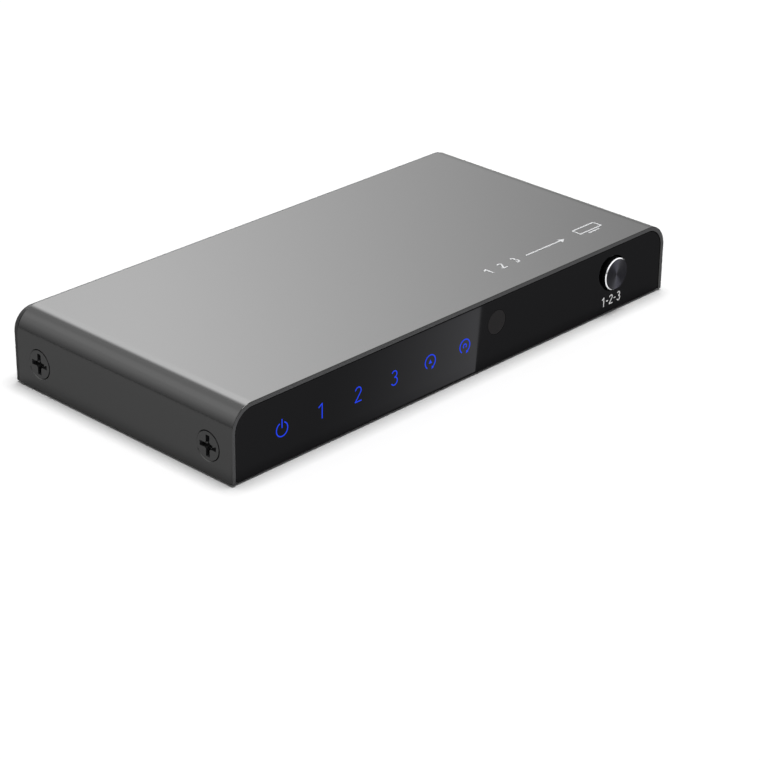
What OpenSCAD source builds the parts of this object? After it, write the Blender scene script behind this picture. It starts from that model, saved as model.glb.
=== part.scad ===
// Slim video switch box: a bent cover over a folded tray, with a glossy front panel and one push button.
// Millimetres, +Z up, +Y towards the back. The box stands on its feet at z = 0, centred on x = 0.

/* [Cover] */
// Width over the two side walls
cover_w = 130; // [126:0.5:150]
// Depth from the front edge to the back edge
cover_d = 63.5; // [61:0.5:80]
// Height from the lower edge to the top
cover_h = 16; // [15.6:0.1:22]
// Sheet thickness
cover_t = 1; // [0.8:0.05:1.2]
// Outside radius of the two long bends
bend_r = 5.6; // [3.5:0.1:6]
// Chamfer round the front and back edges
edge_chamfer = 0.3; // [0.1:0.05:0.4]
// Height of the lower edge above the table
cover_lift = 0.4; // [0.2:0.1:2]

/* [Base tray and rear panel] */
// Sheet thickness
tray_t = 1; // [0.8:0.05:1.2]
// Height of the floor's underside above the cover's lower edge
tray_recess = 0.2; // [0:0.1:0.6]
// Gap between the tray and the cover's side walls
slip_gap = 0.1; // [0.05:0.05:0.3]
// Gap between the front wall and the inside of the cover
wall_gap = 0.5; // [0.3:0.1:1]
// How far the rear panel's edge lies inside the cover's outline
rear_inset = 0.15; // [0.1:0.05:0.9]
// How much lower the rear panel's top lies than that outline
rear_drop = 0.3; // [0.2:0.05:0.5]
// How far each screw ear reaches past its screw
ear_reach = 6; // [4:0.5:7]

/* [Cover screws] */
// Thread diameter
screw_d = 3; // [2.5:0.1:3.2]
// Length over the head
screw_len = 6; // [5:0.5:7]
// Countersink diameter at the cover's surface
csk_d = 6.6; // [6:0.1:7.2]
// Depth of the head below the surface
head_sink = 0.2; // [0.05:0.05:0.3]
// Height above the cover's lower edge
screw_h = 6.1; // [5.5:0.1:7]
// Distance from the cover's front or back edge
screw_inset = 6.75; // [6.5:0.25:12]
// Span of the cross recess
cross_span = 4.1; // [3:0.1:4.4]
// Width of the recess arms
cross_w = 0.9; // [0.6:0.1:1.1]
// Depth of the recess
cross_depth = 0.8; // [0.5:0.1:1]
// Outside diameter of the tapped collar on the ear
collar_d = 5.2; // [4.6:0.1:6]
// Length of the tapped collar
collar_len = 1.5; // [1:0.1:2]

/* [Front panel] */
// Thickness
panel_t = 2; // [1.5:0.1:2.5]
// Gap between the panel's edge and the cover
panel_gap = 0.12; // [0.05:0.01:0.3]
// Depth of the face behind the cover's front edge
panel_sink = 0.1; // [0:0.05:0.4]
// Radius of the two lower corners
panel_corner_r = 0.9; // [0.3:0.1:2]
// Height of the panel's lower edge above the cover's lower edge
panel_low = 0.35; // [0:0.05:0.5]
// Thickness of the adhesive sheet
tape_t = 0.3; // [0.1:0.05:0.6]
// Margin of the adhesive sheet inside the front wall's outline
tape_margin = 0.4; // [0.2:0.1:0.6]

/* [Light marks] */
// Number of marks
mark_count = 6; // [2:1:6]
// Spacing of the marks
mark_pitch = 10.4; // [9:0.1:11]
// Distance of the first mark from the cover's left side
mark_left = 13.1; // [12:0.1:15]
// Height above the cover's lower edge
mark_h = 7.45; // [6.6:0.05:8]
// Width and height of each light guide
guide_w = 5.4; // [4:0.1:6]
// Gap around each light guide
guide_gap = 0.05; // [0.03:0.01:0.2]
// Margin of the light holder round its guides
holder_margin = 0.8; // [0.5:0.1:1.2]
// Lamp size along the board's edge
lamp_w = 1.6; // [1:0.1:2]
// Lamp depth
lamp_d = 0.8; // [0.5:0.1:1.2]
// Lamp height
lamp_h = 0.8; // [0.4:0.1:1.2]

/* [Infrared window] */
// Distance right of the last light mark
window_after = 9.7; // [8:0.1:14]
// Height above the cover's lower edge
window_h = 9.6; // [9.1:0.1:10]
// Diameter
window_d = 5.4; // [4:0.1:6]
// Gap round the window
window_gap = 0.05; // [0.03:0.01:0.2]
// Diameter of the hole behind it
window_hole_d = 6.6; // [6.2:0.1:7]
// Width of the receiver
receiver_w = 5.2; // [5:0.1:6]
// Depth of the receiver's block
receiver_d = 2.6; // [2:0.1:3.5]
// Radius of the receiver's lens
lens_r = 2.3; // [1.5:0.1:2.4]
// Distance of the receiver's block behind the board's front edge
receiver_back = 0.4; // [0.3:0.1:1]
// Side of each square lead
lead_w = 0.5; // [0.4:0.05:0.6]
// Spacing of the leads
lead_pitch = 1.7; // [1.3:0.1:2]

/* [Button] */
// Cap diameter
button_d = 7.3; // [6.5:0.1:8]
// Distance from the cover's right side
button_right = 17.4; // [17:0.1:26]
// Height above the cover's lower edge
button_h = 8.95; // [8.7:0.05:9.5]
// How far the cap stands out of the cover's front edge
button_proud = 0.95; // [0.6:0.05:2]
// Length of the cap
cap_len = 3.1; // [2.4:0.1:3.4]
// Thickness of the cap's face
cap_face_t = 1.2; // [0.8:0.1:1.6]
// Cut edge round the cap's face
cap_chamfer = 0.3; // [0.2:0.05:0.5]
// Diameter of the stem's plug inside the cap
plug_d = 5; // [3.5:0.1:5.5]
// Gap between plug and cap
plug_gap = 0.02; // [0.01:0.01:0.05]
// Gap between the cap and the panel
button_gap = 0.2; // [0.1:0.05:0.4]
// Gap between the cap and the front wall's hole
wall_hole_gap = 0.4; // [0.3:0.05:0.6]
// How far the stem's flange reaches past the hole
flange_lip = 0.8; // [0.5:0.1:1]
// Thickness of the flange
flange_t = 0.8; // [0.5:0.05:1]
// Length of the pusher behind the flange
pusher_len = 1; // [0.6:0.1:1.5]
// Travel of the button
travel = 0.4; // [0.2:0.05:0.5]

/* [Push switch] */
// Width of the switch
switch_w = 6; // [5.4:0.1:6.4]
// Depth of the switch
switch_d = 3.4; // [3:0.1:4]
// Plunger diameter
plunger_d = 2.6; // [2.2:0.1:2.8]
// Free length of the plunger
plunger_out = 1.2; // [1:0.1:1.5]
// Collar that keeps the plunger in
plunger_lip = 0.5; // [0.3:0.1:0.6]
// Thickness of the collar, and of the housing's front
plunger_lip_t = 0.5; // [0.3:0.1:0.6]
// Running gap round the plunger
plunger_gap = 0.08; // [0.05:0.01:0.1]
// Height of the pressed dome
dome_room = 0.3; // [0.2:0.05:0.5]
// Thickness of the dome
dome_t = 0.08; // [0.06:0.01:0.12]
// Thickness of the steel frame
frame_t = 0.4; // [0.3:0.05:0.6]

/* [Board] */
// Thickness
board_t = 1.6; // [1.2:0.1:1.8]
// Distance between the board's sides and the cover's sides
board_side = 8; // [7.5:0.25:9]
// Distance behind the tray's front wall
board_front_gap = 1.6; // [1.5:0.05:2.5]
// Distance in front of the rear panel
board_rear_gap = 0.75; // [0.3:0.05:1.5]
// Height of the standoffs
standoff_h = 3.8; // [3.4:0.1:4.1]
// Diameter of the standoffs
standoff_d = 5; // [4:0.1:6]
// Diameter of the standoff's shank in the tray
shank_d = 4.2; // [3.4:0.1:4.6]
// Distance of the standoffs from the board's sides
standoff_side = 3.5; // [3:0.1:4]
// Distance of the front standoffs from the board's front edge
standoff_front = 6; // [5.5:0.25:9]
// Distance of the rear standoffs from the board's rear edge
standoff_rear = 19; // [17:0.5:24]
// Thread diameter of the board screws
board_screw_d = 2.5; // [2:0.1:2.6]
// Length of the board screws under the head
board_screw_len = 4; // [3:0.1:4.4]
// Head diameter of the board screws
board_head_d = 4.6; // [4:0.1:5]
// Head height of the board screws
board_head_h = 1.5; // [1:0.1:2]
// Gap between a thread and its hole
thread_gap = 0.05; // [0.02:0.01:0.1]
// Gap round pins and legs in the board
pin_gap = 0.15; // [0.1:0.05:0.25]
// How far pins and legs come out under the board
pin_stub = 0.8; // [0.5:0.1:1.2]

/* [Sockets] */
// Width inside the socket
socket_w = 14; // [13.9:0.05:14.2]
// Height inside the socket
socket_h = 4.55; // [4.45:0.05:4.7]
// Cut of the two lower corners inside
socket_cut = 2; // [1.6:0.1:2.2]
// Thickness of the socket's shell
socket_t = 0.35; // [0.25:0.05:0.4]
// Length of the shell
socket_len = 12; // [11:0.25:14]
// How far the sockets stand out of the rear panel
socket_proud = 0.75; // [0.25:0.05:1.5]
// Gap between a socket or jack and the rear panel
cutout_gap = 0.25; // [0.15:0.05:0.4]
// Distance of the first input from the cover's left side
socket_side = 23; // [22:0.5:25]
// Distance of the output left of the power jack
output_gap = 21; // [19.5:0.5:22]
// Length of the insulator's block at the back
insulator_len = 4; // [3:0.1:5]
// Gap between insulator and shell
insulator_gap = 0.05; // [0.03:0.01:0.1]
// Width of the tongue
tongue_w = 11.2; // [11:0.1:12]
// Thickness of the tongue
tongue_t = 1.1; // [0.9:0.05:1.3]
// Depth of the tongue's tip behind the mouth
tongue_back = 1.8; // [1:0.1:2.5]
// Number of contacts on top of the tongue
contact_count = 10; // [4:1:10]
// Spacing of the contacts
contact_pitch = 1; // [0.8:0.05:1.05]
// Width of a contact
contact_w = 0.4; // [0.25:0.05:0.5]
// Thickness of a contact
contact_t = 0.12; // [0.08:0.02:0.2]
// Bare end of the tongue in front of the contacts
contact_back = 0.6; // [0.3:0.1:1]
// Width of the shell's solder legs
leg_w = 1; // [0.6:0.1:1.2]
// Distance of the rear legs from the shell's back
leg_first = 1.5; // [1:0.1:2]
// Distance between the two legs of a side
leg_spacing = 5.5; // [4:0.1:6]

/* [Power jack] */
// Distance from the cover's right side
jack_side = 17; // [16.5:0.25:18.5]
// Width of the jack
jack_w = 8.4; // [8:0.1:9]
// Height of the jack
jack_h = 7.8; // [7.6:0.05:8.2]
// Length of the jack's block
jack_len = 11; // [10:0.25:13]
// Gap between the block and the rear panel
jack_back_gap = 0.4; // [0.2:0.05:1]
// Outside diameter of the nose
nose_d = 7.4; // [7:0.1:7.6]
// Bore for the plug
jack_bore_d = 6.3; // [5.8:0.1:6.4]
// Depth of the bore
jack_depth = 9.5; // [9:0.1:10]
// Centre pin diameter
jack_pin_d = 2; // [1.6:0.1:2.5]
// Depth of the pin's tip behind the mouth
jack_pin_back = 1; // [0.5:0.1:2]
// Length of the pin held in the block
jack_pin_root = 2; // [1:0.1:2.5]
// Width of the spring contact
spring_w = 2; // [1.5:0.1:2.4]
// Thickness of the spring contact
spring_t = 0.3; // [0.2:0.05:0.4]
// Gap round the pin's root and the spring contact
jack_gap = 0.05; // [0.03:0.01:0.1]

/* [Feet] */
// Diameter
foot_d = 9; // [6:0.5:12]
// Distance from the cover's sides
foot_side = 10; // [8:0.5:20]
// Distance from the cover's front and back edges
foot_inset = 9.75; // [8:0.25:16]

/* [Board pieces] */
// Distance of the switching chip left of the middle
chip_left = 7; // [3:0.5:9]
// Distance of the switching chip and the crystal behind the board's front edge
chip_row = 27; // [24:0.5:28]
// Side of the switching chip
chip_w = 14; // [10:0.5:16]
// Height of the switching chip
chip_h = 1.4; // [1:0.1:1.8]
// Side of a signal booster
booster_w = 6; // [4:0.5:7]
// Height of a signal booster
booster_h = 0.9; // [0.7:0.1:1.2]
// Distance of the boosters in front of the sockets
booster_gap = 4; // [3:0.5:6]
// Distance of the control chip left of the button
control_left = 15; // [12:0.5:18]
// Distance of the control chip behind the board's front edge
control_row = 12; // [10:0.5:14]
// Length of the control chip
control_l = 10; // [8:0.5:13]
// Width of the control chip
control_w = 5.4; // [4:0.2:7]
// Height of the control chip
control_h = 1.7; // [1.4:0.1:2.2]
// Distance of a memory chip left of its input
memory_left = 5; // [3:0.5:6]
// Distance of the memory chips behind the board's front edge
memory_row = 10; // [8:0.5:13]
// Length of a memory chip
memory_l = 4.9; // [4:0.1:5.2]
// Width of a memory chip
memory_w = 3.9; // [3:0.1:4]
// Height of a memory chip
memory_h = 1.6; // [1:0.1:1.8]
// Distance of the regulator and the first capacitor left of the power jack
regulator_left = 8.4; // [8:0.1:10]
// Distance of the regulator, the inductor and the second capacitor behind the board's front edge
power_row = 22; // [20:0.5:24]
// Length of the voltage regulator
regulator_l = 6.5; // [5:0.1:7]
// Width of the voltage regulator
regulator_w = 3.5; // [3:0.1:4]
// Height of the voltage regulator
regulator_h = 1.6; // [1.2:0.1:2]
// Side of the inductor
inductor_w = 5.8; // [4:0.1:6]
// Height of the inductor
inductor_h = 3; // [2:0.1:4]
// Distance of the first capacitor in front of the sockets
capacitor_gap = 6.3; // [5:0.1:7]
// Distance of the second capacitor left of the regulator
capacitor_left = 9.4; // [7:0.1:10]
// Distance of the third capacitor right of the middle
capacitor_right = 8; // [7:0.5:12]
// Capacitor diameter
capacitor_d = 6.3; // [4:0.1:6.5]
// Capacitor height
capacitor_h = 5.6; // [4:0.1:7]
// Distance of the crystal left of the middle
crystal_left = 30; // [26:0.5:38]
// Length of the crystal can
crystal_l = 11.4; // [8:0.2:12]
// Width of the crystal can
crystal_w = 4.6; // [3:0.1:5]
// Height of the crystal can
crystal_h = 3.5; // [2:0.1:4.5]

/* [Hidden] */
$fn = 64;
over = 1;

// Heights from the table up
cover_top = cover_lift + cover_h;
floor_z = cover_lift + tray_recess;
tray_top = floor_z + tray_t;
board_z = tray_top + standoff_h;
board_top = board_z + board_t;
screw_z = cover_lift + screw_h;
mark_z = cover_lift + mark_h;
window_z = cover_lift + window_h;
button_z = cover_lift + button_h;

// Depths from the front to the back
front_y = -cover_d / 2;
back_y = cover_d / 2;
panel_front = front_y + panel_sink;
panel_back = panel_front + panel_t;
wall_front = panel_back + tape_t;
wall_back = wall_front + tray_t;
board_front = wall_back + board_front_gap;
board_rear = back_y - board_rear_gap;
rear_face = back_y + tray_t;
mouth_y = rear_face + socket_proud;
socket_back = mouth_y - socket_len;

// Places across the width
tray_half = cover_w / 2 - cover_t - slip_gap;
board_half = cover_w / 2 - board_side;
mark_x = [for (i = [0:mark_count - 1]) -cover_w / 2 + mark_left + i * mark_pitch];
button_x = cover_w / 2 - button_right;
window_x = mark_x[mark_count - 1] + window_after;
jack_x = cover_w / 2 - jack_side;
first_x = socket_side - cover_w / 2;
socket_pitch = (jack_x - output_gap - first_x) / 3;
socket_x = [for (i = [0:3]) first_x + i * socket_pitch];
input_x = [for (i = [0:2]) socket_x[i]];

// Cover screws
screw_y = [front_y + screw_inset, back_y - screw_inset];
ear_y = [[wall_front, screw_y[0] + ear_reach], [screw_y[1] - ear_reach, back_y]];
head_r = csk_d / 2 - head_sink - thread_gap;
bore_r = screw_d / 2 + thread_gap;
csk_depth = csk_d / 2 - bore_r;

// Board fixings
standoff_places = [
    for (s = [-1, 1])
        for (y = [board_front + standoff_front, board_rear - standoff_rear])
            [s * (board_half - standoff_side), y]
];

// Light guides and the holder behind the front wall
guide_hole = guide_w + 2 * guide_gap;
holder_y = board_front - guide_gap;

// Receiver behind the infrared window
lead_y = board_front + receiver_back + receiver_d / 2;

// Button and push switch along their common axis
cap_front = front_y - button_proud;
cap_back = cap_front + cap_len;
flange_front = wall_back + guide_gap;
flange_back = flange_front + flange_t;
pusher_end = flange_back + pusher_len;
plunger_front = pusher_end + guide_gap;
switch_front = plunger_front + plunger_out;
plunger_collar = switch_front + plunger_lip_t + guide_gap;
plunger_back = plunger_collar + plunger_lip_t;
cavity_back = plunger_back + travel + dome_room;
switch_half_h = button_z - board_top;
wall_hole_r = button_d / 2 + wall_hole_gap;
flange_r = wall_hole_r + flange_lip;
pusher_r = plunger_d / 2 - guide_gap;
cavity_r = plunger_d / 2 + plunger_lip + plunger_gap;
dome_r = cavity_r - plunger_gap;
dome_rise = travel + dome_room - guide_gap;

// Sockets
socket_z = board_top + socket_t;
socket_mid = socket_z + socket_h / 2;
block_front = socket_back + insulator_len;
tongue_tip = mouth_y - tongue_back;
leg_y = [for (i = [0, 1]) socket_back + leg_first + i * leg_spacing];

// Power jack
jack_z = board_top + jack_h / 2;
jack_front = back_y - jack_back_gap;
jack_bottom = mouth_y - jack_depth;

// Colours
metal_grey = "#4e4e4f";
dark_grey = "#464647";
zinc = "#b9bcbf";
gloss_black = "#1d1d1e";
soft_black = "#2b2b2c";
solder_green = "#1f5a38";
tin = "#c9cbcd";
gold = "#c9a227";
clear = "#d9e6ef";

// Flat outline in x and z, drawn out along y between two depths
module along_y(from, to) {
    translate([0, to, 0]) rotate([90, 0, 0]) linear_extrude(to - from) children();
}

// Round axis along +y, starting at a given point
module axis_y(x, y, z) {
    translate([x, y, z]) rotate([-90, 0, 0]) children();
}

// Block centred on a point of the board's top face
module on_board(x, y, size) {
    translate([x - size[0] / 2, y - size[1] / 2, board_top]) cube(size);
}

// Outline of the cover, moved inwards by inset, lowered by drop and reaching down to low
module cover_outline(inset, low, drop = 0) {
    half = cover_w / 2 - inset;
    top = cover_top - inset - drop;
    r = max(bend_r - inset, edge_chamfer);
    translate([-half, low]) square([2 * half, top - r - low]);
    translate([r - half, low]) square([2 * (half - r), top - low]);
    for (s = [-1, 1]) translate([s * (half - r), top - r]) circle(r);
}

// Outline of the front panel: the cover's inside with rounded lower corners
module panel_outline() {
    inset = cover_t + panel_gap;
    half = cover_w / 2 - inset;
    low = cover_lift + panel_low;
    cover_outline(inset, low + panel_corner_r);
    translate([panel_corner_r - half, low]) square([2 * (half - panel_corner_r), 2 * panel_corner_r]);
    for (s = [-1, 1]) translate([s * (half - panel_corner_r), low + panel_corner_r]) circle(panel_corner_r);
}

// Square windows behind the light marks
module mark_windows() {
    for (x = mark_x) translate([x - guide_hole / 2, mark_z - guide_hole / 2]) square(guide_hole);
}

// Inside outline of a socket, grown outwards by grow
module socket_outline(grow) {
    half = socket_w / 2 + grow;
    low = -grow;
    top = socket_h + grow;
    cut = socket_cut + grow * (2 - sqrt(2));
    polygon([
        [-half, top], [-half, low + cut], [cut - half, low],
        [half - cut, low], [half, low + cut], [half, top]
    ]);
}

// Cut that chamfers the cover's front edge all the way round
module front_edge_cut() {
    c = edge_chamfer;
    straight = cover_top - bend_r;
    translate([0, front_y, cover_top]) rotate([45, 0, 0])
        cube([cover_w - 2 * bend_r, c * sqrt(2), c * sqrt(2)], center = true);
    for (s = [-1, 1]) {
        translate([s * cover_w / 2, front_y, straight / 2]) rotate([0, 0, 45])
            cube([c * sqrt(2), c * sqrt(2), straight], center = true);
        translate([s * (cover_w / 2 - bend_r), front_y, straight])
            mirror([s < 0 ? 1 : 0, 0, 0]) rotate([90, 0, 0]) rotate_extrude(angle = 90)
                polygon([[bend_r - c, 0], [bend_r, -c], [bend_r + c, 0], [bend_r, c]]);
    }
}

// Put the children at each cover screw, with +z pointing into the box from the cover's surface
module at_cover_screws() {
    for (s = [-1, 1])
        for (y = screw_y)
            translate([s * cover_w / 2, y, screw_z]) rotate([0, -90 * s, 0]) children();
}

// Countersink and hole for one cover screw
module screw_seat() {
    translate([0, 0, -over]) cylinder(h = csk_depth + over, r1 = csk_d / 2 + over, r2 = bore_r);
    cylinder(h = screw_len + over, r = bore_r);
}

module top_cover() {
    color(metal_grey) difference() {
        along_y(front_y, back_y) cover_outline(0, cover_lift);
        along_y(front_y - over, back_y + over) cover_outline(cover_t, cover_lift - over);
        front_edge_cut();
        mirror([0, 1, 0]) front_edge_cut();
        at_cover_screws() screw_seat();
    }
}

module base_tray() {
    ear_h = cover_top - bend_r - floor_z;
    ear_inside = cover_t + slip_gap + tray_t;
    color(dark_grey) difference() {
        union() {
            translate([-tray_half, wall_front, floor_z])
                cube([2 * tray_half, back_y - wall_front, tray_t]);
            along_y(wall_front, wall_back) cover_outline(cover_t + wall_gap, floor_z);
            for (s = [-1, 1])
                for (y = ear_y)
                    translate([s * (tray_half - tray_t / 2) - tray_t / 2, y[0], floor_z])
                        cube([tray_t, y[1] - y[0], ear_h]);
            at_cover_screws() translate([0, 0, ear_inside - tray_t / 2])
                cylinder(h = collar_len + tray_t / 2, r = collar_d / 2);
        }
        at_cover_screws() screw_seat();
        along_y(wall_front - over, wall_back + over) mark_windows();
        axis_y(window_x, wall_front - over, window_z) cylinder(h = tray_t + 2 * over, r = window_hole_d / 2);
        axis_y(button_x, wall_front - over, button_z) cylinder(h = tray_t + 2 * over, r = wall_hole_r);
        for (p = standoff_places)
            translate([p[0], p[1], floor_z - over])
                cylinder(h = tray_t + 2 * over, r = shank_d / 2 + thread_gap);
    }
}

module rear_panel() {
    color(dark_grey) difference() {
        along_y(back_y, rear_face) cover_outline(rear_inset, cover_lift, rear_drop);
        for (x = socket_x)
            translate([x, 0, socket_z]) along_y(back_y - over, rear_face + over)
                socket_outline(socket_t + cutout_gap);
        axis_y(jack_x, back_y - over, jack_z) cylinder(h = tray_t + 2 * over, r = nose_d / 2 + cutout_gap);
    }
}

module front_panel() {
    color(gloss_black) difference() {
        along_y(panel_front, panel_back) panel_outline();
        axis_y(window_x, panel_front - over, window_z)
            cylinder(h = panel_t + 2 * over, r = window_d / 2 + window_gap);
        axis_y(button_x, panel_front - over, button_z)
            cylinder(h = panel_t + 2 * over, r = button_d / 2 + button_gap);
    }
}

module panel_tape() {
    inset = cover_t + wall_gap + tape_margin;
    color(soft_black) difference() {
        along_y(panel_back, wall_front) cover_outline(inset, floor_z + tape_margin);
        along_y(panel_back - over, wall_front + over) mark_windows();
        axis_y(window_x, panel_back - over, window_z) cylinder(h = tape_t + 2 * over, r = window_hole_d / 2);
        axis_y(button_x, panel_back - over, button_z) cylinder(h = tape_t + 2 * over, r = wall_hole_r);
    }
}

module ir_window() {
    color("#2a1c20") axis_y(window_x, panel_front, window_z) cylinder(h = panel_t, r = window_d / 2);
}

module cover_screws() {
    shaft_r = screw_d / 2;
    tip = shaft_r / 3;
    color(dark_grey) at_cover_screws() translate([0, 0, head_sink]) difference() {
        union() {
            cylinder(h = head_r - shaft_r, r1 = head_r, r2 = shaft_r);
            cylinder(h = screw_len - tip, r = shaft_r);
            translate([0, 0, screw_len - tip]) cylinder(h = tip, r1 = shaft_r, r2 = shaft_r - tip);
        }
        for (turn = [0, 90])
            rotate([0, 0, turn]) cube([cross_span, cross_w, 2 * cross_depth], center = true);
    }
}

module rubber_feet() {
    color(soft_black)
        for (sx = [-1, 1])
            for (sy = [-1, 1])
                translate([sx * (cover_w / 2 - foot_side), sy * (cover_d / 2 - foot_inset), 0])
                    cylinder(h = floor_z, r = foot_d / 2);
}

module main_board() {
    drill = board_t + 2 * over;
    color(solder_green) difference() {
        translate([-board_half, board_front, board_z])
            cube([2 * board_half, board_rear - board_front, board_t]);
        for (p = standoff_places)
            translate([p[0], p[1], board_z - over]) cylinder(h = drill, r = board_screw_d / 2 + pin_gap);
        for (x = socket_x)
            for (s = [-1, 1])
                for (y = leg_y)
                    translate([x + s * (socket_w + socket_t) / 2, y + leg_w / 2, board_z + board_t / 2])
                        cube([socket_t + 2 * pin_gap, leg_w + 2 * pin_gap, drill], center = true);
        for (i = [-1, 0, 1])
            translate([window_x + i * lead_pitch, lead_y, board_z - over])
                cylinder(h = drill, r = lead_w * sqrt(2) / 2 + pin_gap);
        for (s = [-1, 1])
            translate([button_x + s * (switch_w - leg_w) / 2, switch_front + switch_d + frame_t / 2, board_z])
                cube([leg_w + 2 * pin_gap, frame_t + 2 * pin_gap, 2 * drill], center = true);
    }
}

module board_standoffs() {
    color(zinc)
        for (p = standoff_places)
            translate([p[0], p[1], floor_z]) difference() {
                union() {
                    cylinder(h = tray_t + standoff_h, r = shank_d / 2);
                    translate([0, 0, tray_t]) cylinder(h = standoff_h, r = standoff_d / 2);
                }
                translate([0, 0, -over])
                    cylinder(h = tray_t + standoff_h + 2 * over, r = board_screw_d / 2 + thread_gap);
            }
}

module board_screws() {
    color(tin)
        for (p = standoff_places)
            translate([p[0], p[1], board_top]) difference() {
                union() {
                    cylinder(h = board_head_h, r = board_head_d / 2);
                    translate([0, 0, -board_screw_len])
                        cylinder(h = board_screw_len + board_head_h / 2, r = board_screw_d / 2);
                }
                for (turn = [0, 90])
                    translate([0, 0, board_head_h]) rotate([0, 0, turn])
                        cube([board_screw_d, cross_w * board_screw_d / screw_d, board_head_h], center = true);
            }
}

// Steel shell of one socket with its four solder legs
module socket_shell(x) {
    color(tin) {
        translate([x, 0, socket_z]) along_y(socket_back, mouth_y) difference() {
            socket_outline(socket_t);
            socket_outline(0);
        }
        for (s = [-1, 1])
            for (y = leg_y)
                translate([x + s * (socket_w + socket_t) / 2 - socket_t / 2, y, board_z - pin_stub])
                    cube([socket_t, leg_w, socket_mid - board_z + pin_stub]);
    }
}

// Insulator of one socket: a block at the back and the tongue in front of it
module socket_insulator(x) {
    color(soft_black) {
        translate([x, 0, socket_z]) along_y(socket_back, block_front) socket_outline(-insulator_gap);
        translate([x - tongue_w / 2, block_front - over, socket_mid - tongue_t / 2])
            cube([tongue_w, tongue_tip - block_front + over, tongue_t]);
    }
}

// Contacts of one socket: a row on top of the tongue and a shorter row under it
module socket_contacts(x) {
    length = tongue_tip - contact_back - block_front;
    color(gold)
        for (row = [0, 1])
            for (i = [0:contact_count - 1 - row]) {
                place = (i - (contact_count - 1 - row) / 2) * contact_pitch;
                height = row == 0 ? tongue_t / 2 : -tongue_t / 2 - contact_t;
                translate([x + place - contact_w / 2, block_front, socket_mid + height])
                    cube([contact_w, length, contact_t]);
            }
}

// Slot under the plug's bore that holds the spring contact
module spring_slot(gap) {
    low = jack_z - jack_bore_d / 2 - spring_t - gap;
    translate([jack_x - spring_w / 2 - gap, jack_bottom, low])
        cube([spring_w + 2 * gap, jack_front - jack_bottom, spring_t + 2 * gap]);
}

module power_jack_body() {
    color(soft_black) difference() {
        union() {
            on_board(jack_x, jack_front - jack_len / 2, [jack_w, jack_len, jack_h]);
            axis_y(jack_x, jack_front - over, jack_z)
                cylinder(h = mouth_y - jack_front + over, r = nose_d / 2);
        }
        axis_y(jack_x, jack_bottom, jack_z) cylinder(h = jack_depth + over, r = jack_bore_d / 2);
        axis_y(jack_x, jack_bottom - jack_pin_root, jack_z)
            cylinder(h = jack_pin_root + over, r = jack_pin_d / 2 + jack_gap);
        spring_slot(jack_gap);
    }
}

module power_jack_pin() {
    length = jack_pin_root + jack_depth - jack_pin_back;
    r = jack_pin_d / 2;
    color(tin) {
        axis_y(jack_x, jack_bottom - jack_pin_root, jack_z) cylinder(h = length - r, r = r);
        translate([jack_x, jack_bottom - jack_pin_root + length - r, jack_z]) sphere(r);
    }
}

module power_jack_spring() {
    color(tin) spring_slot(0);
}

module switch_chip() {
    color(soft_black) on_board(-chip_left, board_front + chip_row, [chip_w, chip_w, chip_h]);
}

module signal_boosters() {
    color(soft_black)
        for (x = socket_x)
            on_board(x, socket_back - booster_gap - booster_w / 2, [booster_w, booster_w, booster_h]);
}

module control_chip() {
    color(soft_black)
        on_board(button_x - control_left, board_front + control_row, [control_l, control_w, control_h]);
}

module memory_chips() {
    color(soft_black)
        for (x = input_x)
            on_board(x - memory_left, board_front + memory_row, [memory_l, memory_w, memory_h]);
}

module regulator() {
    color(soft_black)
        on_board(jack_x - regulator_left, board_front + power_row, [regulator_l, regulator_w, regulator_h]);
}

module inductor() {
    color("#55565a") on_board(jack_x, board_front + power_row, [inductor_w, inductor_w, inductor_h]);
}

module capacitors() {
    places = [
        [jack_x - regulator_left, socket_back - capacitor_gap],
        [jack_x - regulator_left - capacitor_left, board_front + power_row],
        [capacitor_right, board_front + control_row]
    ];
    color(zinc)
        for (p = places)
            translate([p[0], p[1], board_top]) cylinder(h = capacitor_h, r = capacitor_d / 2);
}

module crystal() {
    color(zinc) on_board(-crystal_left, board_front + chip_row, [crystal_l, crystal_w, crystal_h]);
}

module ir_receiver() {
    height = 2 * (window_z - board_top);
    color(soft_black) {
        on_board(window_x, lead_y, [receiver_w, receiver_d, height]);
        translate([window_x, lead_y - receiver_d / 2, window_z]) sphere(lens_r);
    }
}

module ir_receiver_leads() {
    color(tin)
        for (i = [-1, 0, 1])
            translate([window_x + i * lead_pitch - lead_w / 2, lead_y - lead_w / 2, board_z - pin_stub])
                cube([lead_w, lead_w, board_t + pin_stub]);
}

module indicator_lamps() {
    color("#dfe7f5")
        for (x = mark_x)
            on_board(x, board_front + lamp_d / 2, [lamp_w, lamp_d, lamp_h]);
}

module light_guides() {
    color(clear)
        for (x = mark_x)
            translate([x - guide_w / 2, panel_back + guide_gap, mark_z - guide_w / 2])
                cube([guide_w, holder_y - panel_back - guide_gap, guide_w]);
}

module light_holder() {
    half_h = guide_w / 2 + holder_margin;
    left = mark_x[0] - guide_w / 2 - holder_margin;
    right = mark_x[mark_count - 1] + guide_w / 2 + holder_margin;
    color(soft_black) along_y(wall_back, holder_y) difference() {
        translate([left, mark_z - half_h]) square([right - left, 2 * half_h]);
        mark_windows();
    }
}

module switch_body() {
    color(soft_black) difference() {
        on_board(button_x, switch_front + switch_d / 2, [switch_w, switch_d, 2 * switch_half_h]);
        axis_y(button_x, switch_front - over, button_z)
            cylinder(h = plunger_lip_t + 2 * over, r = plunger_d / 2 + plunger_gap);
        axis_y(button_x, switch_front + plunger_lip_t, button_z)
            cylinder(h = cavity_back - switch_front - plunger_lip_t, r = cavity_r);
    }
}

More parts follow.
